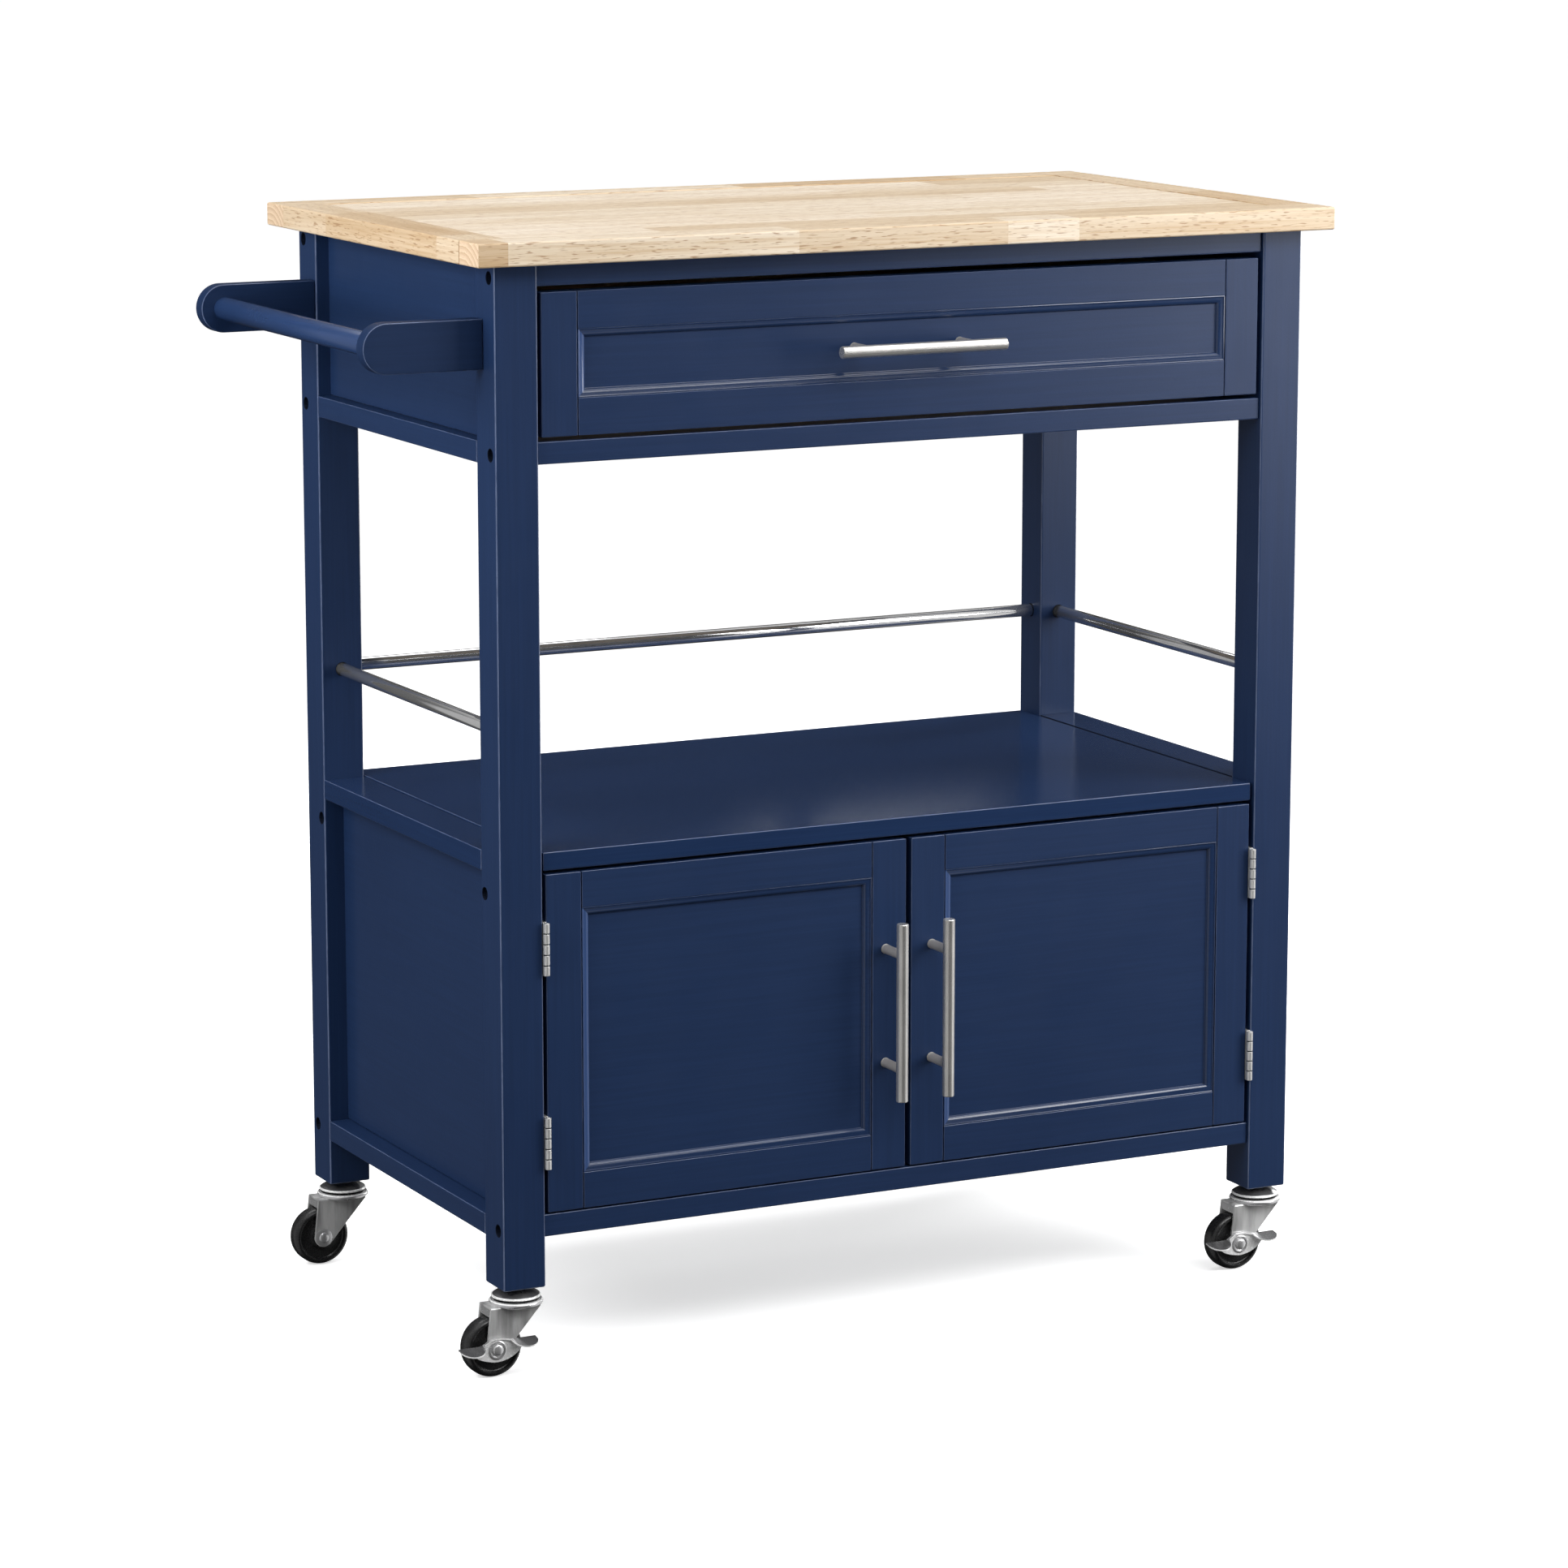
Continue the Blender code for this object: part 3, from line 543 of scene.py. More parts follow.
def weigh_edges(bm, low, high, axis, outer, at_ends):
    """Bevel weights for a board along x or y: full outside, a trace along the glue line."""
    weight = bm.edges.layers.float.new("bevel_weight_edge")
    for edge in bm.edges:
        start, end = [vert.co for vert in edge.verts]
        middle = (start + end) / 2
        if abs((start - end).normalized()[axis]) > 0.5:
            edge[weight] = 1.0 if abs(middle[1 - axis] - outer) < TOUCH else 0.16
        elif min(abs(middle[axis] - low[axis]), abs(middle[axis] - high[axis])) < TOUCH:
            edge[weight] = at_ends


def worktop_board(name, low, high, axis, cuts, words, outer):
    """A board of glued blocks; those along x run the full length and show end grain."""
    bm = beam_mesh(low, high, axis, [TOP_MIDDLE[axis] + cut for cut in cuts])
    weigh_edges(bm, low, high, axis, outer, 0.10 if axis else 1.0)
    finishes = tone_list(words, axis)
    if axis == 0:
        bm.normal_update()
        for face in bm.faces:
            if abs(face.normal.x) > 0.9:
                face.material_index = len(words)
        centre = (low[0], (low[1] + high[1]) / 2 + 0.012, low[2] - 0.020)
        finishes.append(end_grain(f"end_grain_{name}", centre))
    board = to_object(name, bm, finishes)
    ease(board, 1.7 * MM, 4, by_weight=True)
    dress(board, "frame", ["worktop"])


def worktop_panel(low, high):
    """The middle panel: rows of staves glued edge to edge, each with its own tone."""
    rows = 8
    cut_sets = ((-0.21, 0.12), (0.02,), (-0.11, 0.23), (-0.27, 0.06), (0.17,), (-0.05, 0.27),
                (-0.16, 0.10), (0.21,))
    words = ("cream", "pale", "cream", "honey", "pale", "cream", "pale", "honey", "cream",
             "pale", "cream")
    lines = [low.y + (high.y - low.y) * row / rows for row in range(rows + 1)]
    spans = []
    for cuts in cut_sets:
        spans.append([low.x, *(TOP_MIDDLE.x + cut for cut in cuts), high.x])
    bm = bmesh.new()
    found = {}

    def vert(x, y, z):
        key = (round(x, 6), round(y, 6), round(z, 6))
        if key not in found:
            found[key] = bm.verts.new((x, y, z))
        return found[key]

    def stations(line):
        """Every cut that meets this glue line, from both rows beside it."""
        near = spans[line - 1] if line > 0 else []
        far = spans[line] if line < rows else []
        return sorted(set(near) | set(far))

    count = 0
    for row in range(rows):
        for left, right in zip(spans[row], spans[row][1:]):
            front = [x for x in stations(row) if left <= x <= right]
            back = [x for x in stations(row + 1) if left <= x <= right]
            loop = [vert(x, lines[row], high.z) for x in front]
            loop += [vert(x, lines[row + 1], high.z) for x in reversed(back)]
            bm.faces.new(loop).material_index = (count * 7 + row * 3) % len(words)
            count += 1
    outline = [vert(x, low.y, high.z) for x in stations(0)]
    outline += [vert(high.x, y, high.z) for y in lines[1:-1]]
    outline += [vert(x, high.y, high.z) for x in reversed(stations(rows))]
    outline += [vert(low.x, y, high.z) for y in reversed(lines[1:-1])]
    base = [vert(v.co.x, v.co.y, low.z) for v in outline]
    bridge(bm, outline, base)
    bm.faces.new(base)
    panel = to_object("worktop_panel", bm, tone_list(words, 0))
    crisp(panel, 20)
    dress(panel, "frame", ["worktop"])


def build_worktop():
    """Two rails, two end boards and the middle panel, a hair apart."""
    low, high = TOP_LOW, TOP_HIGH
    inner_low, inner_high = low.y + BORDER, high.y - BORDER
    worktop_board("worktop_rail_front", low, (high.x, inner_low, high.z), 0,
                  (-0.3627, -0.1116, 0.0771, 0.1430),
                  ("tan", "pale", "honey", "pale", "honey"), low.y)
    worktop_board("worktop_rail_rear", (low.x, inner_high, low.z), high, 0,
                  (-0.2100, 0.0400, 0.2600), ("honey", "pale", "tan", "honey"), high.y)
    hair = 0.05 * MM
    worktop_board("worktop_end_left", (low.x, inner_low + hair, low.z),
                  (low.x + BORDER, inner_high - hair, high.z), 1, (-0.1407, 0.0900),
                  ("honey", "tan", "honey"), low.x)
    worktop_board("worktop_end_right", (high.x - BORDER, inner_low + hair, low.z),
                  (high.x, inner_high - hair, high.z), 1, (-0.0300,), ("tan", "honey"), high.x)
    worktop_panel(Vector((low.x + BORDER + hair, inner_low + hair, low.z + 0.3 * MM)),
                  Vector((high.x - BORDER - hair, inner_high - hair, high.z - STEP)))


# ---- legs and boards ----
BOLT_HEIGHTS = (0.8850, 0.7467, 0.1215)
BOLT_INSET = 10.3 * MM
MID_BOLT_HEIGHT = 0.3941
MID_BOLT_INSET = 29.9 * MM
BOLT_RADIUS = 5 * MM
BOLT_HEAD = ((2.0, 0), (4.0, 0), (4.2, 0.2), (4.2, 1.0), (3.9, 1.4), (2.3, 1.4), (2.0, 1.2))
BOLT_SOCKET = ((0, 0), (2.0, 0), (2.0, 0.5), (0, 0.5))
HOLE_DEPTH = 6 * MM
SOCKET_DEPTH = 2 * MM
BACK_SCREW = ((0, -0.6), (3.0, -0.6), (3.4, 0.0), (3.1, 0.25), (1.5, 0.3), (0.9, -0.4),
              (0, -0.5))
ROD_LOW, ROD_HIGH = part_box("gallery_rod_rear")
ROD_RADIUS = (ROD_HIGH.z - ROD_LOW.z) / 2
ROD_HEIGHT = (ROD_HIGH.z + ROD_LOW.z) / 2


def carve(thing, bm, materials):
    """Cuts a solid out of a piece. Where the solid has a material, the cut faces take it
    and the piece's flats stay flat."""
    cutter = to_object("cutter", bm, materials)
    cut = thing.modifiers.new("cut", "BOOLEAN")
    cut.operation = "DIFFERENCE"
    cut.solver = "EXACT"
    cut.object = cutter
    if materials:
        cut.material_mode = "TRANSFER"
        flat = thing.modifiers.new("flats", "WEIGHTED_NORMAL")
        flat.keep_sharp = True
        flat.weight = 100
    settle(thing)
    bpy.data.objects.remove(cutter)


def cut_round(thing, holes):
    """Sinks round holes with a softened rim: (centre on the surface, outward, radius, depth)."""
    soft = 0.5 * MM
    proud = 2 * MM
    bm = bmesh.new()
    for centre, outward, radius, depth in holes:
        profile = [(0, -depth), (radius, -depth), (radius, -soft), (radius + 0.15 * MM, -0.2 * MM),
                   (radius + soft, 0), (radius + soft, proud), (0, proud)]
        turn_into(bm, profile, centre, outward, 32)
    # the holes' walls take the near-black navy, painted shade
    carve(thing, bm, [HOLE])


def build_leg(word, side, end):
    """A leg with counterbored bolt holes outside and sockets for the gallery rods."""
    low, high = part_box(f"leg_{word}")
    leg = plank(f"leg_{word}_post", low, high, NAVY, 1.6 * MM, 4)
    outer, inner = (high.x, low.x) if side > 0 else (low.x, high.x)
    face, rear_side = (low.y, high.y) if end < 0 else (high.y, low.y)
    middle = (low + high) / 2
    spots = [(face - end * BOLT_INSET, z) for z in BOLT_HEIGHTS]
    spots.append((face - end * MID_BOLT_INSET, MID_BOLT_HEIGHT))
    holes = [(Vector((outer, y, z)), (side, 0, 0), BOLT_RADIUS, HOLE_DEPTH) for y, z in spots]
    socket = ROD_RADIUS + 0.12 * MM
    holes.append((Vector((middle.x, rear_side, ROD_HEIGHT)), (0, -end, 0), socket,
                  SOCKET_DEPTH))
    if end > 0:
        holes.append((Vector((inner, middle.y, ROD_HEIGHT)), (-side, 0, 0), socket,
                      SOCKET_DEPTH))
    cut_round(leg, holes)
    dress(leg, "frame", [f"leg_{word}"])
    bm = bmesh.new()
    for y, z in spots:
        at = Vector((outer - side * 5.9 * MM, y, z))
        turn_into(bm, in_mm(BOLT_HEAD), at, (side, 0, 0), 24)
        turn_into(bm, in_mm(BOLT_SOCKET), at, (side, 0, 0), 6)
    bolts = crisp(to_object(f"leg_{word}_bolts", bm, [DARK_STEEL]))
    dress(bolts, "frame", [])


SHELF_GAP = 1.8 * MM         # the shelf's ends stand this far off the side rails


def build_boards():
    """The rails, panels and boards; the shelf rails' sides in the gap get near-black navy, painted
    shade.
    """
    plain = ["front_top_rail", "front_drawer_rail", "shelf", "cabinet_floor", "cabinet_back",
             "rear_panel"]
    for word, _ in SIDES:
        plain += [f"side_rail_{word}", f"shelf_side_rail_{word}", f"floor_side_rail_{word}",
                  f"side_panel_{word}", f"cabinet_side_{word}"]
    for node in plain:
        low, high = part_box(node)
        paint = SHELF_PAINT + NAVY[2:] if node.startswith("shelf") else NAVY
        if node == "shelf":
            low.x += SHELF_GAP
            high.x -= SHELF_GAP
        board = plank(f"{node}_board", low, high, paint)
        # the side rails' faces towards the shelf take the near-black navy, painted shade in the
        # gap
        if node.startswith("shelf_side"):
            inwards = -1 if low.x > 0 else 1
            refinish(board, HOLE, lambda normal: normal.x * inwards > 0.3)
        dress(board, "frame", [node])
    low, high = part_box("drawer_runner")
    dress(plank("drawer_runner_bar", low, high, DRAWER_WOOD), "frame", ["drawer_runner"])


def build_back_screws():
    """Countersunk screws that hold the two rear boards to the legs' rails."""
    bm = bmesh.new()
    inset = 11 * MM
    for node in ("rear_panel", "cabinet_back"):
        low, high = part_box(node)
        for x in (low.x + inset, high.x - inset):
            for z in (low.z + 16 * MM, (low.z + high.z) / 2, high.z - 16 * MM):
                turn_into(bm, in_mm(BACK_SCREW), (x, high.y + 0.1 * MM, z), (0, 1, 0), 24)
    dress(crisp(to_object("back_screws", bm, [DARK_STEEL])), "frame", [])


def build_gallery():
    """The three rods, each a little way into the legs' sockets."""
    reach = 1.8 * MM
    for word, axis in (("rear", 0), ("left", 1), ("right", 1)):
        node = f"gallery_rod_{word}"
        low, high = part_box(node)
        length = high[axis] - low[axis] + 2 * reach
        start = (low + high) / 2
        start[axis] = low[axis] - reach
        rod = turned(f"{node}_bar", rod_profile(length, ROD_RADIUS), start,
                     point_at(axis, 1, 0, 0), STEEL[axis])
        dress(rod, "frame", [node])


def build_towel_bar():
    """Two round-ended arms and the dowel between them."""
    for word in ("front", "rear"):
        node = f"towel_arm_{word}"
        low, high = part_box(node)
        radius = (high.z - low.z) / 2
        centre = (low.x + radius, (low.z + high.z) / 2)
        outline = [(high.x, low.z), (high.x, high.z)]
        outline += arc(centre, radius, 90, 270, 32)
        arm = to_object(f"{node}_board", prism_mesh(outline, low.y, high.y), [ARM_PAINT])
        ease(arm, 1.2 * MM, 3, angle=40)
        # the arm's eased edges take the lighter navy, a painted highlight
        refinish(arm, ARRIS_HIGHLIGHT, lambda normal: 0.35 < abs(normal.y) < 0.92)
        dress(arm, "frame", [node])
    low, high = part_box("towel_dowel")
    middle = (low + high) / 2
    radius = (high.z - low.z) / 2
    start = Vector((middle.x, low.y, middle.z))
    dowel = turned("towel_dowel_bar", rod_profile(high.y - low.y, radius), start, (0, 1, 0),
                   DOWEL_PAINT, 56)
    dress(dowel, "frame", ["towel_dowel"])


# ---- framed fronts ----
STILE = 31.7 * MM
RAIL = 29.7 * MM
SEAM = 0.8 * MM
PANEL_SINK = 4.5 * MM
PANEL_THICK = 6 * MM


def moulding_profile():
    """(inwards, sunk) from the frame's edge to the panel: bead, quirk and ovolo."""
    face = [(0.0, 0.75), (0.25, 0.40), (0.75, 0.28), (1.15, 0.45), (1.30, 0.85), (1.70, 0.95)]
    ovolo = [(1.70 + 4.9 * sin(radians(a)), 0.95 + 3.2 * (1 - cos(radians(a))))
             for a in (15, 30, 45, 60, 72, 82, 90)]
    return in_mm(face + ovolo + [(6.95, 4.45), (7.0, 4.9), (0.0, 4.9)])


def build_moulding(name, low_x, high_x, low_z, high_z, face_y):
    """A mitred frame of moulding round the sunk panel."""
    bm = bmesh.new()
    corners = []
    for x, z, inward_x, inward_z in ((low_x, low_z, 1, 1), (high_x, low_z, -1, 1),
                                     (high_x, high_z, -1, -1), (low_x, high_z, 1, -1)):
        corner = []
        for inwards, sunk in moulding_profile():
            corner.append(bm.verts.new((x + inward_x * inwards, face_y + sunk,
                                        z + inward_z * inwards)))
        corners.append(corner)
    for side, (near, far) in enumerate(zip(corners, corners[1:] + corners[:1])):
        edge, *faces = bridge(bm, near, far)
        # the bead at the outer edge of each side takes the painted highlight
        edge.material_index = 1
        for face in faces:
            # the left upright takes the lifted navy, painted light as from the right
            face.material_index = 2 if side == 3 else 0
    return crisp(to_object(name, bm, [MOULDING, ARRIS_HIGHLIGHT, MOULDING_LIT]), 28)


def build_front(node, body):
    """Two stiles, two rails, a mitred moulding and a sunk panel."""
    low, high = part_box(node)
    inner_low_x, inner_high_x = low.x + STILE, high.x - STILE
    inner_low_z, inner_high_z = low.z + RAIL, high.z - RAIL
    pieces = []
    for word, x0, x1 in (("left", low.x, inner_low_x - SEAM),
                         ("right", inner_high_x + SEAM, high.x)):
        pieces.append(plank(f"{node}_stile_{word}", (x0, low.y, low.z), (x1, high.y, high.z),
                            [NAVY[2]] * 3, 0.8 * MM))
    for word, z0, z1 in (("bottom", low.z, inner_low_z), ("top", inner_high_z, high.z)):
        pieces.append(plank(f"{node}_rail_{word}", (inner_low_x, low.y, z0),
                            (inner_high_x, high.y, z1), [NAVY[0]] * 3, 0.6 * MM))
    # near-black blocks behind the seams between stiles and rails: painted shade in the seams
    bm = bmesh.new()
    for x in (inner_low_x, inner_high_x):
        for z0, z1 in ((low.z, inner_low_z), (inner_high_z, high.z)):
            graft(bm, beam_mesh((x - 3 * MM, low.y + 1.8 * MM, z0 + 0.6 * MM),
                                (x + 3 * MM, high.y - 1.0 * MM, z1 - 0.6 * MM)))
    pieces.append(crisp(to_object(f"{node}_seam_shade", bm, [HOLE])))
    pieces.append(build_moulding(f"{node}_moulding", inner_low_x, inner_high_x, inner_low_z,
                                 inner_high_z, low.y))
    sunk = low.y + PANEL_SINK
    tuck = 0.2 * MM
    pieces.append(plank(f"{node}_panel", (inner_low_x + tuck, sunk, inner_low_z + tuck),
                        (inner_high_x - tuck, sunk + PANEL_THICK, inner_high_z - tuck),
                        [NAVY[0]] * 3, 0.3 * MM, 2))
    for piece in pieces:
        dress(piece, body, [node])


POST_SPACING = 96 * MM


def build_pull(node, body, axis):
    """A brushed bar on two posts with thin collars."""
    low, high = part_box(node)
    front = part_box("drawer_front" if body == "drawer" else f"door_{node.rsplit('_', 1)[1]}")[0].y
    across = 2 if axis == 0 else 0
    radius = (high[across] - low[across]) / 2
    middle = (low + high) / 2
    bar_y = low.y + radius
    start = Vector((middle.x, bar_y, middle.z))
    start[axis] = low[axis]
    bar = turned(f"{node}_bar", rod_profile(high[axis] - low[axis], radius, 0.8 * MM), start,
                 point_at(axis, 1, 0, 0), NICKEL[axis], 48, 25)
    dress(bar, body, [node])
    bm = bmesh.new()
    for sign in (-1, 1):
        foot = Vector((middle.x, front - 0.1 * MM, middle.z))
        foot[axis] += sign * POST_SPACING / 2
        height = foot.y - bar_y
        profile = in_mm(((0, 0), (3.9, 0), (4.1, 0.2), (4.1, 0.9), (3.9, 1.1)))
        profile += [(3.9 * MM, height - 2.6 * MM), (0, height - 2.6 * MM)]
        turn_into(bm, profile, foot, (0, -1, 0), 32)
    posts = crisp(to_object(f"{node}_posts", bm, [POST_NICKEL]), 25)
    dress(posts, body, [node])


def build_drawer():
    """The front with its pull, and the box behind it."""
    build_front("drawer_front", "drawer")
    build_pull("drawer_pull", "drawer", 0)
    for node in ("drawer_side_left", "drawer_side_right", "drawer_back", "drawer_bottom"):
        low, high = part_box(node)
        board = plank(f"{node}_board", low, high, DRAWER_WOOD, 0.8 * MM)
        dress(board, "drawer", [node])


HINGE_TALL = 43.3 * MM
KNUCKLES = 5
KNUCKLE_RADIUS = 2.65 * MM
KNUCKLE_GAP = 0.45 * MM      # what each knuckle stands back at either end
LEAF_THICK = 1.2 * MM
LEAF_CLEAR = 0.3 * MM        # between a leaf and the wood beside it
HINGE_SCREW_SPACING = 14 * MM
HINGE_SCREW = ((0, -0.2), (2.2, -0.2), (2.3, 0.0), (1.9, 0.1), (0.9, 0.1), (0.5, -0.1),
               (0, -0.1))


def build_hinge(side_word, side, place):
    """Two leaves, five knuckles, a pin with round heads and countersunk screws."""
    radius = KNUCKLE_RADIUS
    pitch = HINGE_TALL / KNUCKLES
    up = (0, 0, 1)
    lower_low, lower_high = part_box(f"hinge_door_{side_word}_lower")
    axis_x = (lower_low.x + lower_high.x) / 2
    lows, highs = zip(*(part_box(f"hinge_{owner}_{side_word}_{place}")
                        for owner in ("frame", "door")))
    axis_y = min(low.y for low in lows) + radius
    centre_z = (min(low.z for low in lows) + max(high.z for high in highs)) / 2
    base = centre_z - HINGE_TALL / 2
    fixed = ("frame", "frame", f"leg_front_{side_word}", -side, (0, 2, 4))
    swinging = ("door", f"{side_word}_door", f"door_{side_word}", side, (1, 3))
    for owner, body, host, inner, shares in (fixed, swinging):
        node = f"hinge_{owner}_{side_word}_{place}"
        back_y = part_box(node)[1].y
        near_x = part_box(host)[1 if inner > 0 else 0].x + inner * LEAF_CLEAR
        face_x = near_x + inner * LEAF_THICK
        x0, x1 = sorted((near_x, face_x))
        bm = bmesh.new()
        for share in shares:
            z0 = base + share * pitch + KNUCKLE_GAP
            z1 = base + (share + 1) * pitch - KNUCKLE_GAP
            tall = z1 - z0
            turn_into(bm, [(1.2 * MM, 0), (2.45 * MM, 0), (radius, 0.2 * MM),
                           (radius, tall - 0.2 * MM), (2.45 * MM, tall), (1.2 * MM, tall)],
                      (axis_x, axis_y, z0), up, 32)
            graft(bm, beam_mesh((x0, axis_y, z0), (x1, axis_y + 3.6 * MM, z1)))
        graft(bm, beam_mesh((x0, axis_y + 3.1 * MM, base), (x1, back_y, base + HINGE_TALL)))
        if owner == "frame":
            # dark discs in the gaps between the knuckles, painted shade there, then the pin and
            # its heads
            for share in range(1, KNUCKLES):
                z = base + share * pitch - 0.44 * MM
                turn_into(bm, in_mm(((0, 0), (2.35, 0), (2.35, 0.88), (0, 0.88))),
                          (axis_x, axis_y, z), up, 24, 1)
            head = dome_profile(1.5 * MM, 0.35 * MM, 0.1 * MM)
            turn_into(bm, head, (axis_x, axis_y, base + HINGE_TALL - 0.3 * MM), up, 24)
            turn_into(bm, head, (axis_x, axis_y, base + 0.3 * MM), (0, 0, -1), 24)
            length = HINGE_TALL - 0.8 * MM
            turn_into(bm, [(0, 0), (1.1 * MM, 0), (1.1 * MM, length), (0, length)],
                      (axis_x, axis_y, base + 0.4 * MM), up, 16)
        for place_z in (-HINGE_SCREW_SPACING, 0, HINGE_SCREW_SPACING):
            turn_into(bm, in_mm(HINGE_SCREW), (face_x, axis_y + 9.6 * MM, centre_z + place_z),
                      (inner, 0, 0), 20)
        piece = crisp(to_object(f"{node}_leaf", bm, [HINGE_NICKEL, DARK_STEEL]))
        dress(piece, body, [node])


def graft(bm, other):
    """Adds one bmesh's faces to another."""
    mesh = bpy.data.meshes.new("graft")
    other.to_mesh(mesh)
    other.free()
    bm.from_mesh(mesh)
    bpy.data.meshes.remove(mesh)


def build_door(word, side):
    """A framed front with its pull, on two hinges."""
    build_front(f"door_{word}", f"{word}_door")
    build_pull(f"door_pull_{word}", f"{word}_door", 2)
    for place in ("lower", "upper"):
        build_hinge(word, side, place)


# ---- casters ----
TRAIL = 22.5 * MM            # from the kingpin back to the axle
FORK_BACK = 26.9 * MM        # from the kingpin back to the fork's edge
CROWN = 58.9 * MM            # heights above the floor: the crown's top, its underside
CROWN_UNDER = 57.2 * MM      # and the lower edge of its lip
LIP = 50.5 * MM
RIVET_HEAD = 1.9 * MM
WHEEL_RADIUS = 24.84         # as drawn, in millimetres; the wheel is scaled to its CAD size
LEVER_THICK = 1.2 * MM
LEVER_REACH = 33.6 * MM      # from the axle to either end
LENS_REACH = 24.0            # half the lens-shaped plate's width, in millimetres
WING_MIDDLE = 23.0           # from the axle to the middle of a wing, in millimetres
WING_RADIUS = 11.2


def build_mount(word, x, y):
    """Neck, domed upper race and kingpin, pressed and zinc plated."""
    profile = [(0, 72.55), (8.6, 72.55), (9.2, 72.2), (9.2, 71.0), (9.7, 70.3), (11.5, 69.5),
               (14.5, 68.5), (17.2, 67.2), (19.2, 65.9), (20.1, 65.2), (20.25, 64.6),
               (19.9, 64.0), (19.2, 63.7), (17.6, 63.6), (0, 63.6)]
    bm = bmesh.new()
    turn_into(bm, in_mm(profile), (x, y, 0), (0, 0, 1), 64)
    pin = [(0, 55.9), (5.8, 55.9), (5.7, 55.2), (4.6, 54.2), (2.6, 53.7), (0, 53.6)]
    turn_into(bm, in_mm(pin), (x, y, 0), (0, 0, 1), 32)
    race_finish(bm, x, y, (9.8, 19.3), (19.3, 20.3))
    mount = crisp(to_object(f"caster_mount_{word}_race", bm, PLATED), 40)
    dress(mount, "frame", [f"caster_mount_{word}"])


def race_finish(bm, x, y, shaded, bright):
    """Gives two rings of a pressed race, from one radius to another, darker zinc as painted shade
    and lighter zinc as a painted highlight.
    """
    for face in bm.faces:
        radius = (face.calc_center_median().xy - Vector((x, y))).length
        for number, (low, high) in ((2, shaded), (1, bright)):
            if low * MM < radius < high * MM:
                face.material_index = number


def cheek_outline(x, axle_z):
    """One cheek from the side: a round end that widens to the crown."""
    centre = (x - TRAIL, axle_z)
    outline = [(x - FORK_BACK, CROWN)]
    outline += arc(centre, 8.3 * MM, 181, 317, 22)
    outline += [(x + 11.5 * MM, LIP), (x + 16.5 * MM, 56.0 * MM), (x + 16.6 * MM, CROWN)]
    return outline


def build_fork(word, x, y, axle_z, has_brake):
    """The pressed fork: lower race, crown with a turned-down lip, cheeks and rivets."""
    node = f"caster_fork_{word}"
    body = f"swivel_{word}"
    outer, inner = 11.7 * MM, 9.7 * MM
    shell = prism_mesh(cheek_outline(x, axle_z), y - outer, y + outer)
    fork = to_object(f"{node}_frame", shell, [CHEEK_ZINC])
    carve(fork, beam_mesh((x - 34 * MM, y - inner, 0), (x + 30 * MM, y + inner, CROWN_UNDER)), [])
    bm = bmesh.new()
    bm.from_mesh(fork.data)
    weight = bm.edges.layers.float.new("bevel_weight_edge")
    for edge in bm.edges:
        if len(edge.link_faces) != 2 or edge.calc_face_angle(0) < radians(30):
            continue
        middle = (edge.verts[0].co + edge.verts[1].co) / 2
        fold = middle.z > CROWN - 0.4 * MM and abs(abs(middle.y - y) - outer) < 1e-5
        edge[weight] = 1.0 if fold else 0.18
    bm.to_mesh(fork.data)
    bm.free()
    fork.data.shade_smooth()
    ease(fork, 1.9 * MM, 4, by_weight=True)
    dress(fork, body, [node])

    bm = bmesh.new()
    race = [(4.4, 62.3), (15.0, 62.3), (19.0, 62.2), (20.9, 61.8), (21.8, 61.0), (22.1, 60.0),
            (21.7, 58.7), (20.6, 57.6), (19.0, 57.0), (4.4, 57.0)]
    turn_into(bm, in_mm(race), (x, y, 0), (0, 0, 1), 64)
    race_finish(bm, x, y, (15.2, 19.4), (21.2, 21.6))
    graft(bm, beam_mesh((x - FORK_BACK, y - inner, LIP), (x - 25.6 * MM, y + inner, 58.0 * MM)))
    reach = {-1: 17.0 * MM if has_brake else 13.7 * MM, 1: 13.7 * MM}
    axle = Vector((x - TRAIL, y, axle_z))
    for sign in (-1, 1):
        washer = in_mm(((0, 0), (7.6, 0), (7.6, 0.25), (7.2, 0.45), (0, 0.45)))
        turn_into(bm, washer, axle + Vector((0, sign * (outer - 0.05 * MM), 0)), (0, sign, 0), 40)
        head = reach[sign] - RIVET_HEAD
        turn_into(bm, dome_profile(4.5 * MM, RIVET_HEAD), axle + Vector((0, sign * head, 0)),
                  (0, sign, 0), 32)
    length = reach[-1] + reach[1] - 2 * RIVET_HEAD
    turn_into(bm, [(0, 0), (3.0 * MM, 0), (3.0 * MM, length), (0, length)],
              axle - Vector((0, reach[-1] - RIVET_HEAD, 0)), (0, 1, 0), 24)
    parts = crisp(to_object(f"{node}_race", bm, PLATED), 40)
    dress(parts, body, [node])


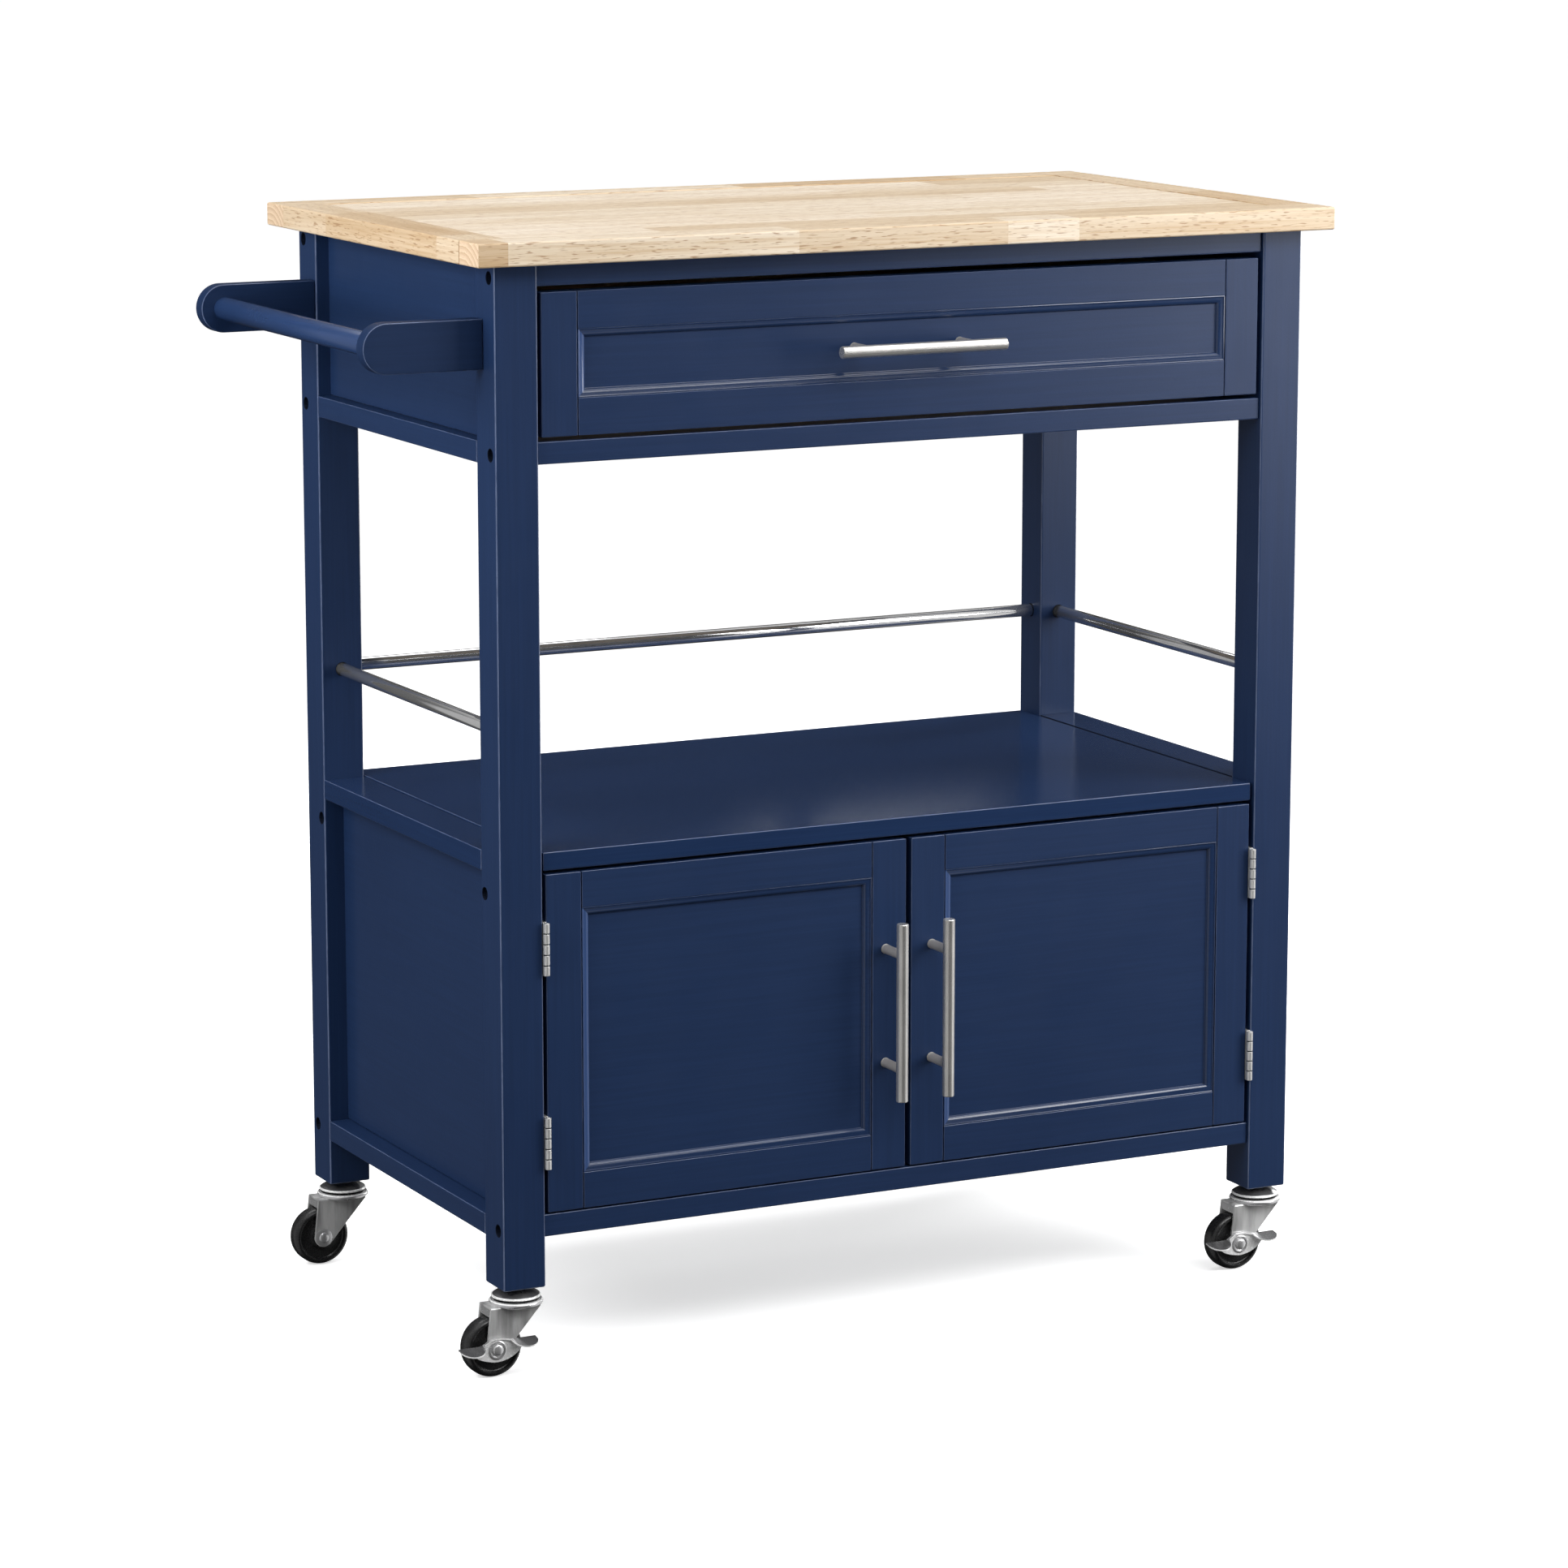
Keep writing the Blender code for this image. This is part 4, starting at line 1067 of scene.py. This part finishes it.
def build_wheel(word, x, y, axle_z):
    """A moulded wheel: soft shoulders, a raised rim ring, a sunk web and a hub."""
    node = f"caster_wheel_{word}"
    size = axle_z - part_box(node)[0].z
    rim = [(WHEEL_RADIUS, 0.0), (WHEEL_RADIUS, 2.6), (24.76, 3.8), (24.5, 5.2), (23.9, 6.6),
           (22.9, 7.7), (21.8, 8.3), (20.8, 8.45), (20.2, 8.25), (19.9, 7.6), (19.6, 6.5),
           (18.9, 6.0), (11.9, 6.0), (11.0, 6.3), (10.6, 7.2), (10.3, 8.4), (9.7, 8.7),
           (7.4, 8.7), (6.9, 8.4), (3.3, 8.4)]
    scale = size / WHEEL_RADIUS
    front = [(r * scale, d * MM) for r, d in rim]
    back = [(r, -d) for r, d in reversed(front[1:])]
    wheel = turned(f"{node}_moulded", front + back, (x - TRAIL, y, axle_z), (0, 1, 0), BLACK,
                   72, 30)
    dress(wheel, f"wheel_{word}", [node])


def smooth_step(value):
    """Eases a value from 0 to 1."""
    value = min(1.0, max(0.0, value))
    return value * value * (3 - 2 * value)


def build_lever(word, x, y, axle_z):
    """A pressed brake lever: a lens-shaped plate with a flange that sweeps over the
    axle in an S and spreads into a round-ended wing at each end."""
    node = f"brake_lever_{word}"
    axle_x = x - TRAIL
    back_y = y - 12.5 * MM
    face_y = back_y - LEVER_THICK
    stations = 72
    bm = bmesh.new()
    rings = []
    for step in range(stations + 1):
        along = LEVER_REACH * sin(pi / 2 * (2 * step / stations - 1))
        u = along / MM
        fall_left = 5.1 * (1 - smooth_step((u + 15.5) / 12.0))
        fall_right = 1.9 * smooth_step((u - 3) / 11)
        top = (34.3 - fall_left - fall_right) * MM + (axle_z - 25 * MM)
        spread = WING_RADIUS ** 2 - (abs(u) - WING_MIDDLE) ** 2
        depth = (1.4 + sqrt(max(0.0, spread))) * MM
        lens = max(0.0, 1 - (u / LENS_REACH) ** 2)
        hang = top - LEVER_THICK - 0.3 * MM
        bottom = min(hang, hang + (axle_z - 10.4 * MM - hang) * lens ** 0.62)
        droop = top - 0.34 * (depth - 1.4 * MM)
        section = ((back_y, bottom), (back_y, top), (face_y - depth, droop),
                   (face_y - depth, droop - LEVER_THICK), (face_y, top - LEVER_THICK),
                   (face_y, bottom))
        rings.append([bm.verts.new((axle_x + along, v, w)) for v, w in section])
    bm.faces.new(rings[0])
    bm.faces.new(rings[-1])
    for near, far in zip(rings, rings[1:]):
        for k, face in enumerate(bridge(bm, near, far)):
            # the flange's front edge, the plate's face and its underside take the painted
            # highlight; the wings' tops take painted shade
            if k in (2, 4, 5):
                face.material_index = 1
            elif k == 1 and abs(near[0].co.x - axle_x) > 13 * MM:
                face.material_index = 2
    boss = [(4.7, 0), (8.0, 0), (7.9, 0.5), (7.2, 0.95), (6.4, 1.0), (5.4, 0.6), (4.9, 0.35)]
    at = (axle_x, face_y + 0.1 * MM, axle_z - 0.6 * MM)
    turn_into(bm, in_mm(boss), at, (0, -1, 0), 40)
    lever = crisp(to_object(f"{node}_pressed", bm, PLATED), 40)
    dress(lever, f"brake_{word}", [node])


def build_caster(word, end):
    """A swivel caster under one leg; the two in front have brake levers."""
    low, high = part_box(f"leg_{word}")
    x, y = (low.x + high.x) / 2, (low.y + high.y) / 2
    wheel_low, wheel_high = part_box(f"caster_wheel_{word}")
    axle_z = (wheel_low.z + wheel_high.z) / 2
    build_mount(word, x, y)
    build_fork(word, x, y, axle_z, end < 0)
    build_wheel(word, x, y, axle_z)
    if end < 0:
        build_lever(word, x, y, axle_z)


# ---- stage, light and camera ----
def build_stage():
    """A wide pale floor with a pale wall far off; only the camera sees them."""
    circle = ring_points((0, 0, 0), (0, 0, 1), 34.0, 0, 96)
    bm = bmesh.new()
    bm.faces.new([bm.verts.new(point) for point in circle])
    floor = to_object("floor", bm, [FLOOR])
    bm = bmesh.new()
    foot = [bm.verts.new(point) for point in circle]
    head = [bm.verts.new(point + Vector((0, 0, 14.0))) for point in circle]
    bridge(bm, foot, head)
    wall = to_object("backdrop", bm, [BACKDROP])
    for thing in (floor, wall):
        thing.visible_glossy = False
        thing.visible_diffuse = False
    wall.visible_shadow = False


def add_lamp(name, kind, place, aim, energy):
    """A lamp that looks at a point and that the camera doesn't see."""
    data = bpy.data.lights.new(name, kind)
    data.energy = energy
    lamp = bpy.data.objects.new(name, data)
    lamp.location = place
    lamp.rotation_euler = (Vector(aim) - Vector(place)).to_track_quat("-Z", "Y").to_euler()
    lamp.visible_camera = False
    bpy.context.scene.collection.objects.link(lamp)
    return lamp


def softbox(name, azimuth, distance, middle_z, width, height, power, aim_z=0.5, mirrored=True,
            diffuse=True):
    """A soft rectangle that looks at the cart; azimuth 0 is in front, 90 on the right.

    Reflections don't show it unless it is mirrored, and without diffuse they alone do.
    """
    a = radians(azimuth)
    place = Vector((sin(a) * distance, -cos(a) * distance, middle_z))
    lamp = add_lamp(name, "AREA", place, (0, 0, aim_z), power)
    lamp.data.shape = "RECTANGLE"
    lamp.data.size = width
    lamp.data.size_y = height
    lamp.visible_glossy = mirrored
    lamp.visible_diffuse = diffuse


def build_world():
    """A bright ceiling and bright side walls; dim in front and behind."""
    world = bpy.data.worlds.new("studio")
    bpy.context.scene.world = world
    world.use_nodes = True
    tree = world.node_tree
    coords = tree.nodes.new("ShaderNodeTexCoord")
    split = tree.nodes.new("ShaderNodeSeparateXYZ")
    tree.links.new(coords.outputs["Generated"], split.inputs["Vector"])
    ceiling = (split.outputs["Z"], 0.30, 0.85, 0.025, 0.45)
    left_wall = (split.outputs["X"], -0.42, -0.57, 0.00, 0.36)
    right_wall = (split.outputs["X"], 0.45, 0.80, 0.00, 0.68)
    total = None
    for source, start, end, dim, bright in (ceiling, left_wall, right_wall):
        spread = tree.nodes.new("ShaderNodeMapRange")
        spread.interpolation_type = "SMOOTHSTEP"
        put(spread, From_Min=start, From_Max=end, To_Min=dim, To_Max=bright)
        tree.links.new(source, spread.inputs["Value"])
        level = spread.outputs["Result"]
        if total is not None:
            larger = tree.nodes.new("ShaderNodeMath")
            larger.operation = "MAXIMUM"
            tree.links.new(total, larger.inputs[0])
            tree.links.new(level, larger.inputs[1])
            level = larger.outputs[0]
        total = level
    sky = tree.nodes["Background"]
    put(sky, Color=(1.0, 1.0, 1.0, 1.0))
    tree.links.new(total, sky.inputs["Strength"])


def build_light():
    """The world, a broad overhead light and seven softboxes."""
    build_world()
    overhead = add_lamp("overhead", "SUN", (0, -0.6, 4), (0, 0, 0), 0.66)
    overhead.data.angle = radians(80)
    softbox("key", 48, 1.95, 1.15, 1.0, 1.4, 30, 0.75)
    softbox("high_front", 4, 2.1, 2.3, 1.8, 0.9, 24, 0.85)
    softbox("fill", -82, 1.5, 1.12, 1.0, 0.8, 18, 0.85, mirrored=False)
    softbox("rear", 180, 2.0, 3.5, 2.4, 0.8, 22, 0.7)
    softbox("right_strip", 112, 2.2, 1.0, 0.5, 1.8, 22, 0.6)
    softbox("top_edge", 66, 1.3, 3.2, 1.2, 1.2, 14, 0.6, diffuse=False)
    softbox("rear_fill", 172, 2.6, 1.1, 1.8, 1.3, 40, 0.6, mirrored=False)


def build_camera():
    """Looks down at the cart from its front left."""
    data = bpy.data.cameras.new("photo_view")
    data.sensor_width = 36.0
    data.lens = 122.86
    data.clip_start = 0.1
    data.clip_end = 300.0
    camera = bpy.data.objects.new("photo_view", data)
    camera.location = (-1.9874, -3.9884, 1.2795)
    yaw, pitch = 0.4669, 0.1892
    forward = Vector((sin(yaw) * cos(pitch), cos(yaw) * cos(pitch), -sin(pitch)))
    camera.rotation_euler = forward.to_track_quat("-Z", "Y").to_euler()
    bpy.context.scene.collection.objects.link(camera)
    bpy.context.scene.camera = camera
    bpy.context.scene.view_settings.view_transform = "Standard"


# ---- the cart ----
build_worktop()
for corner, side, end in CORNERS:
    build_leg(corner, side, end)
build_boards()
build_back_screws()
build_gallery()
build_towel_bar()
build_drawer()
for word, side in SIDES:
    build_door(word, side)
for corner, _, end in CORNERS:
    build_caster(corner, end)
build_stage()
build_light()
build_camera()
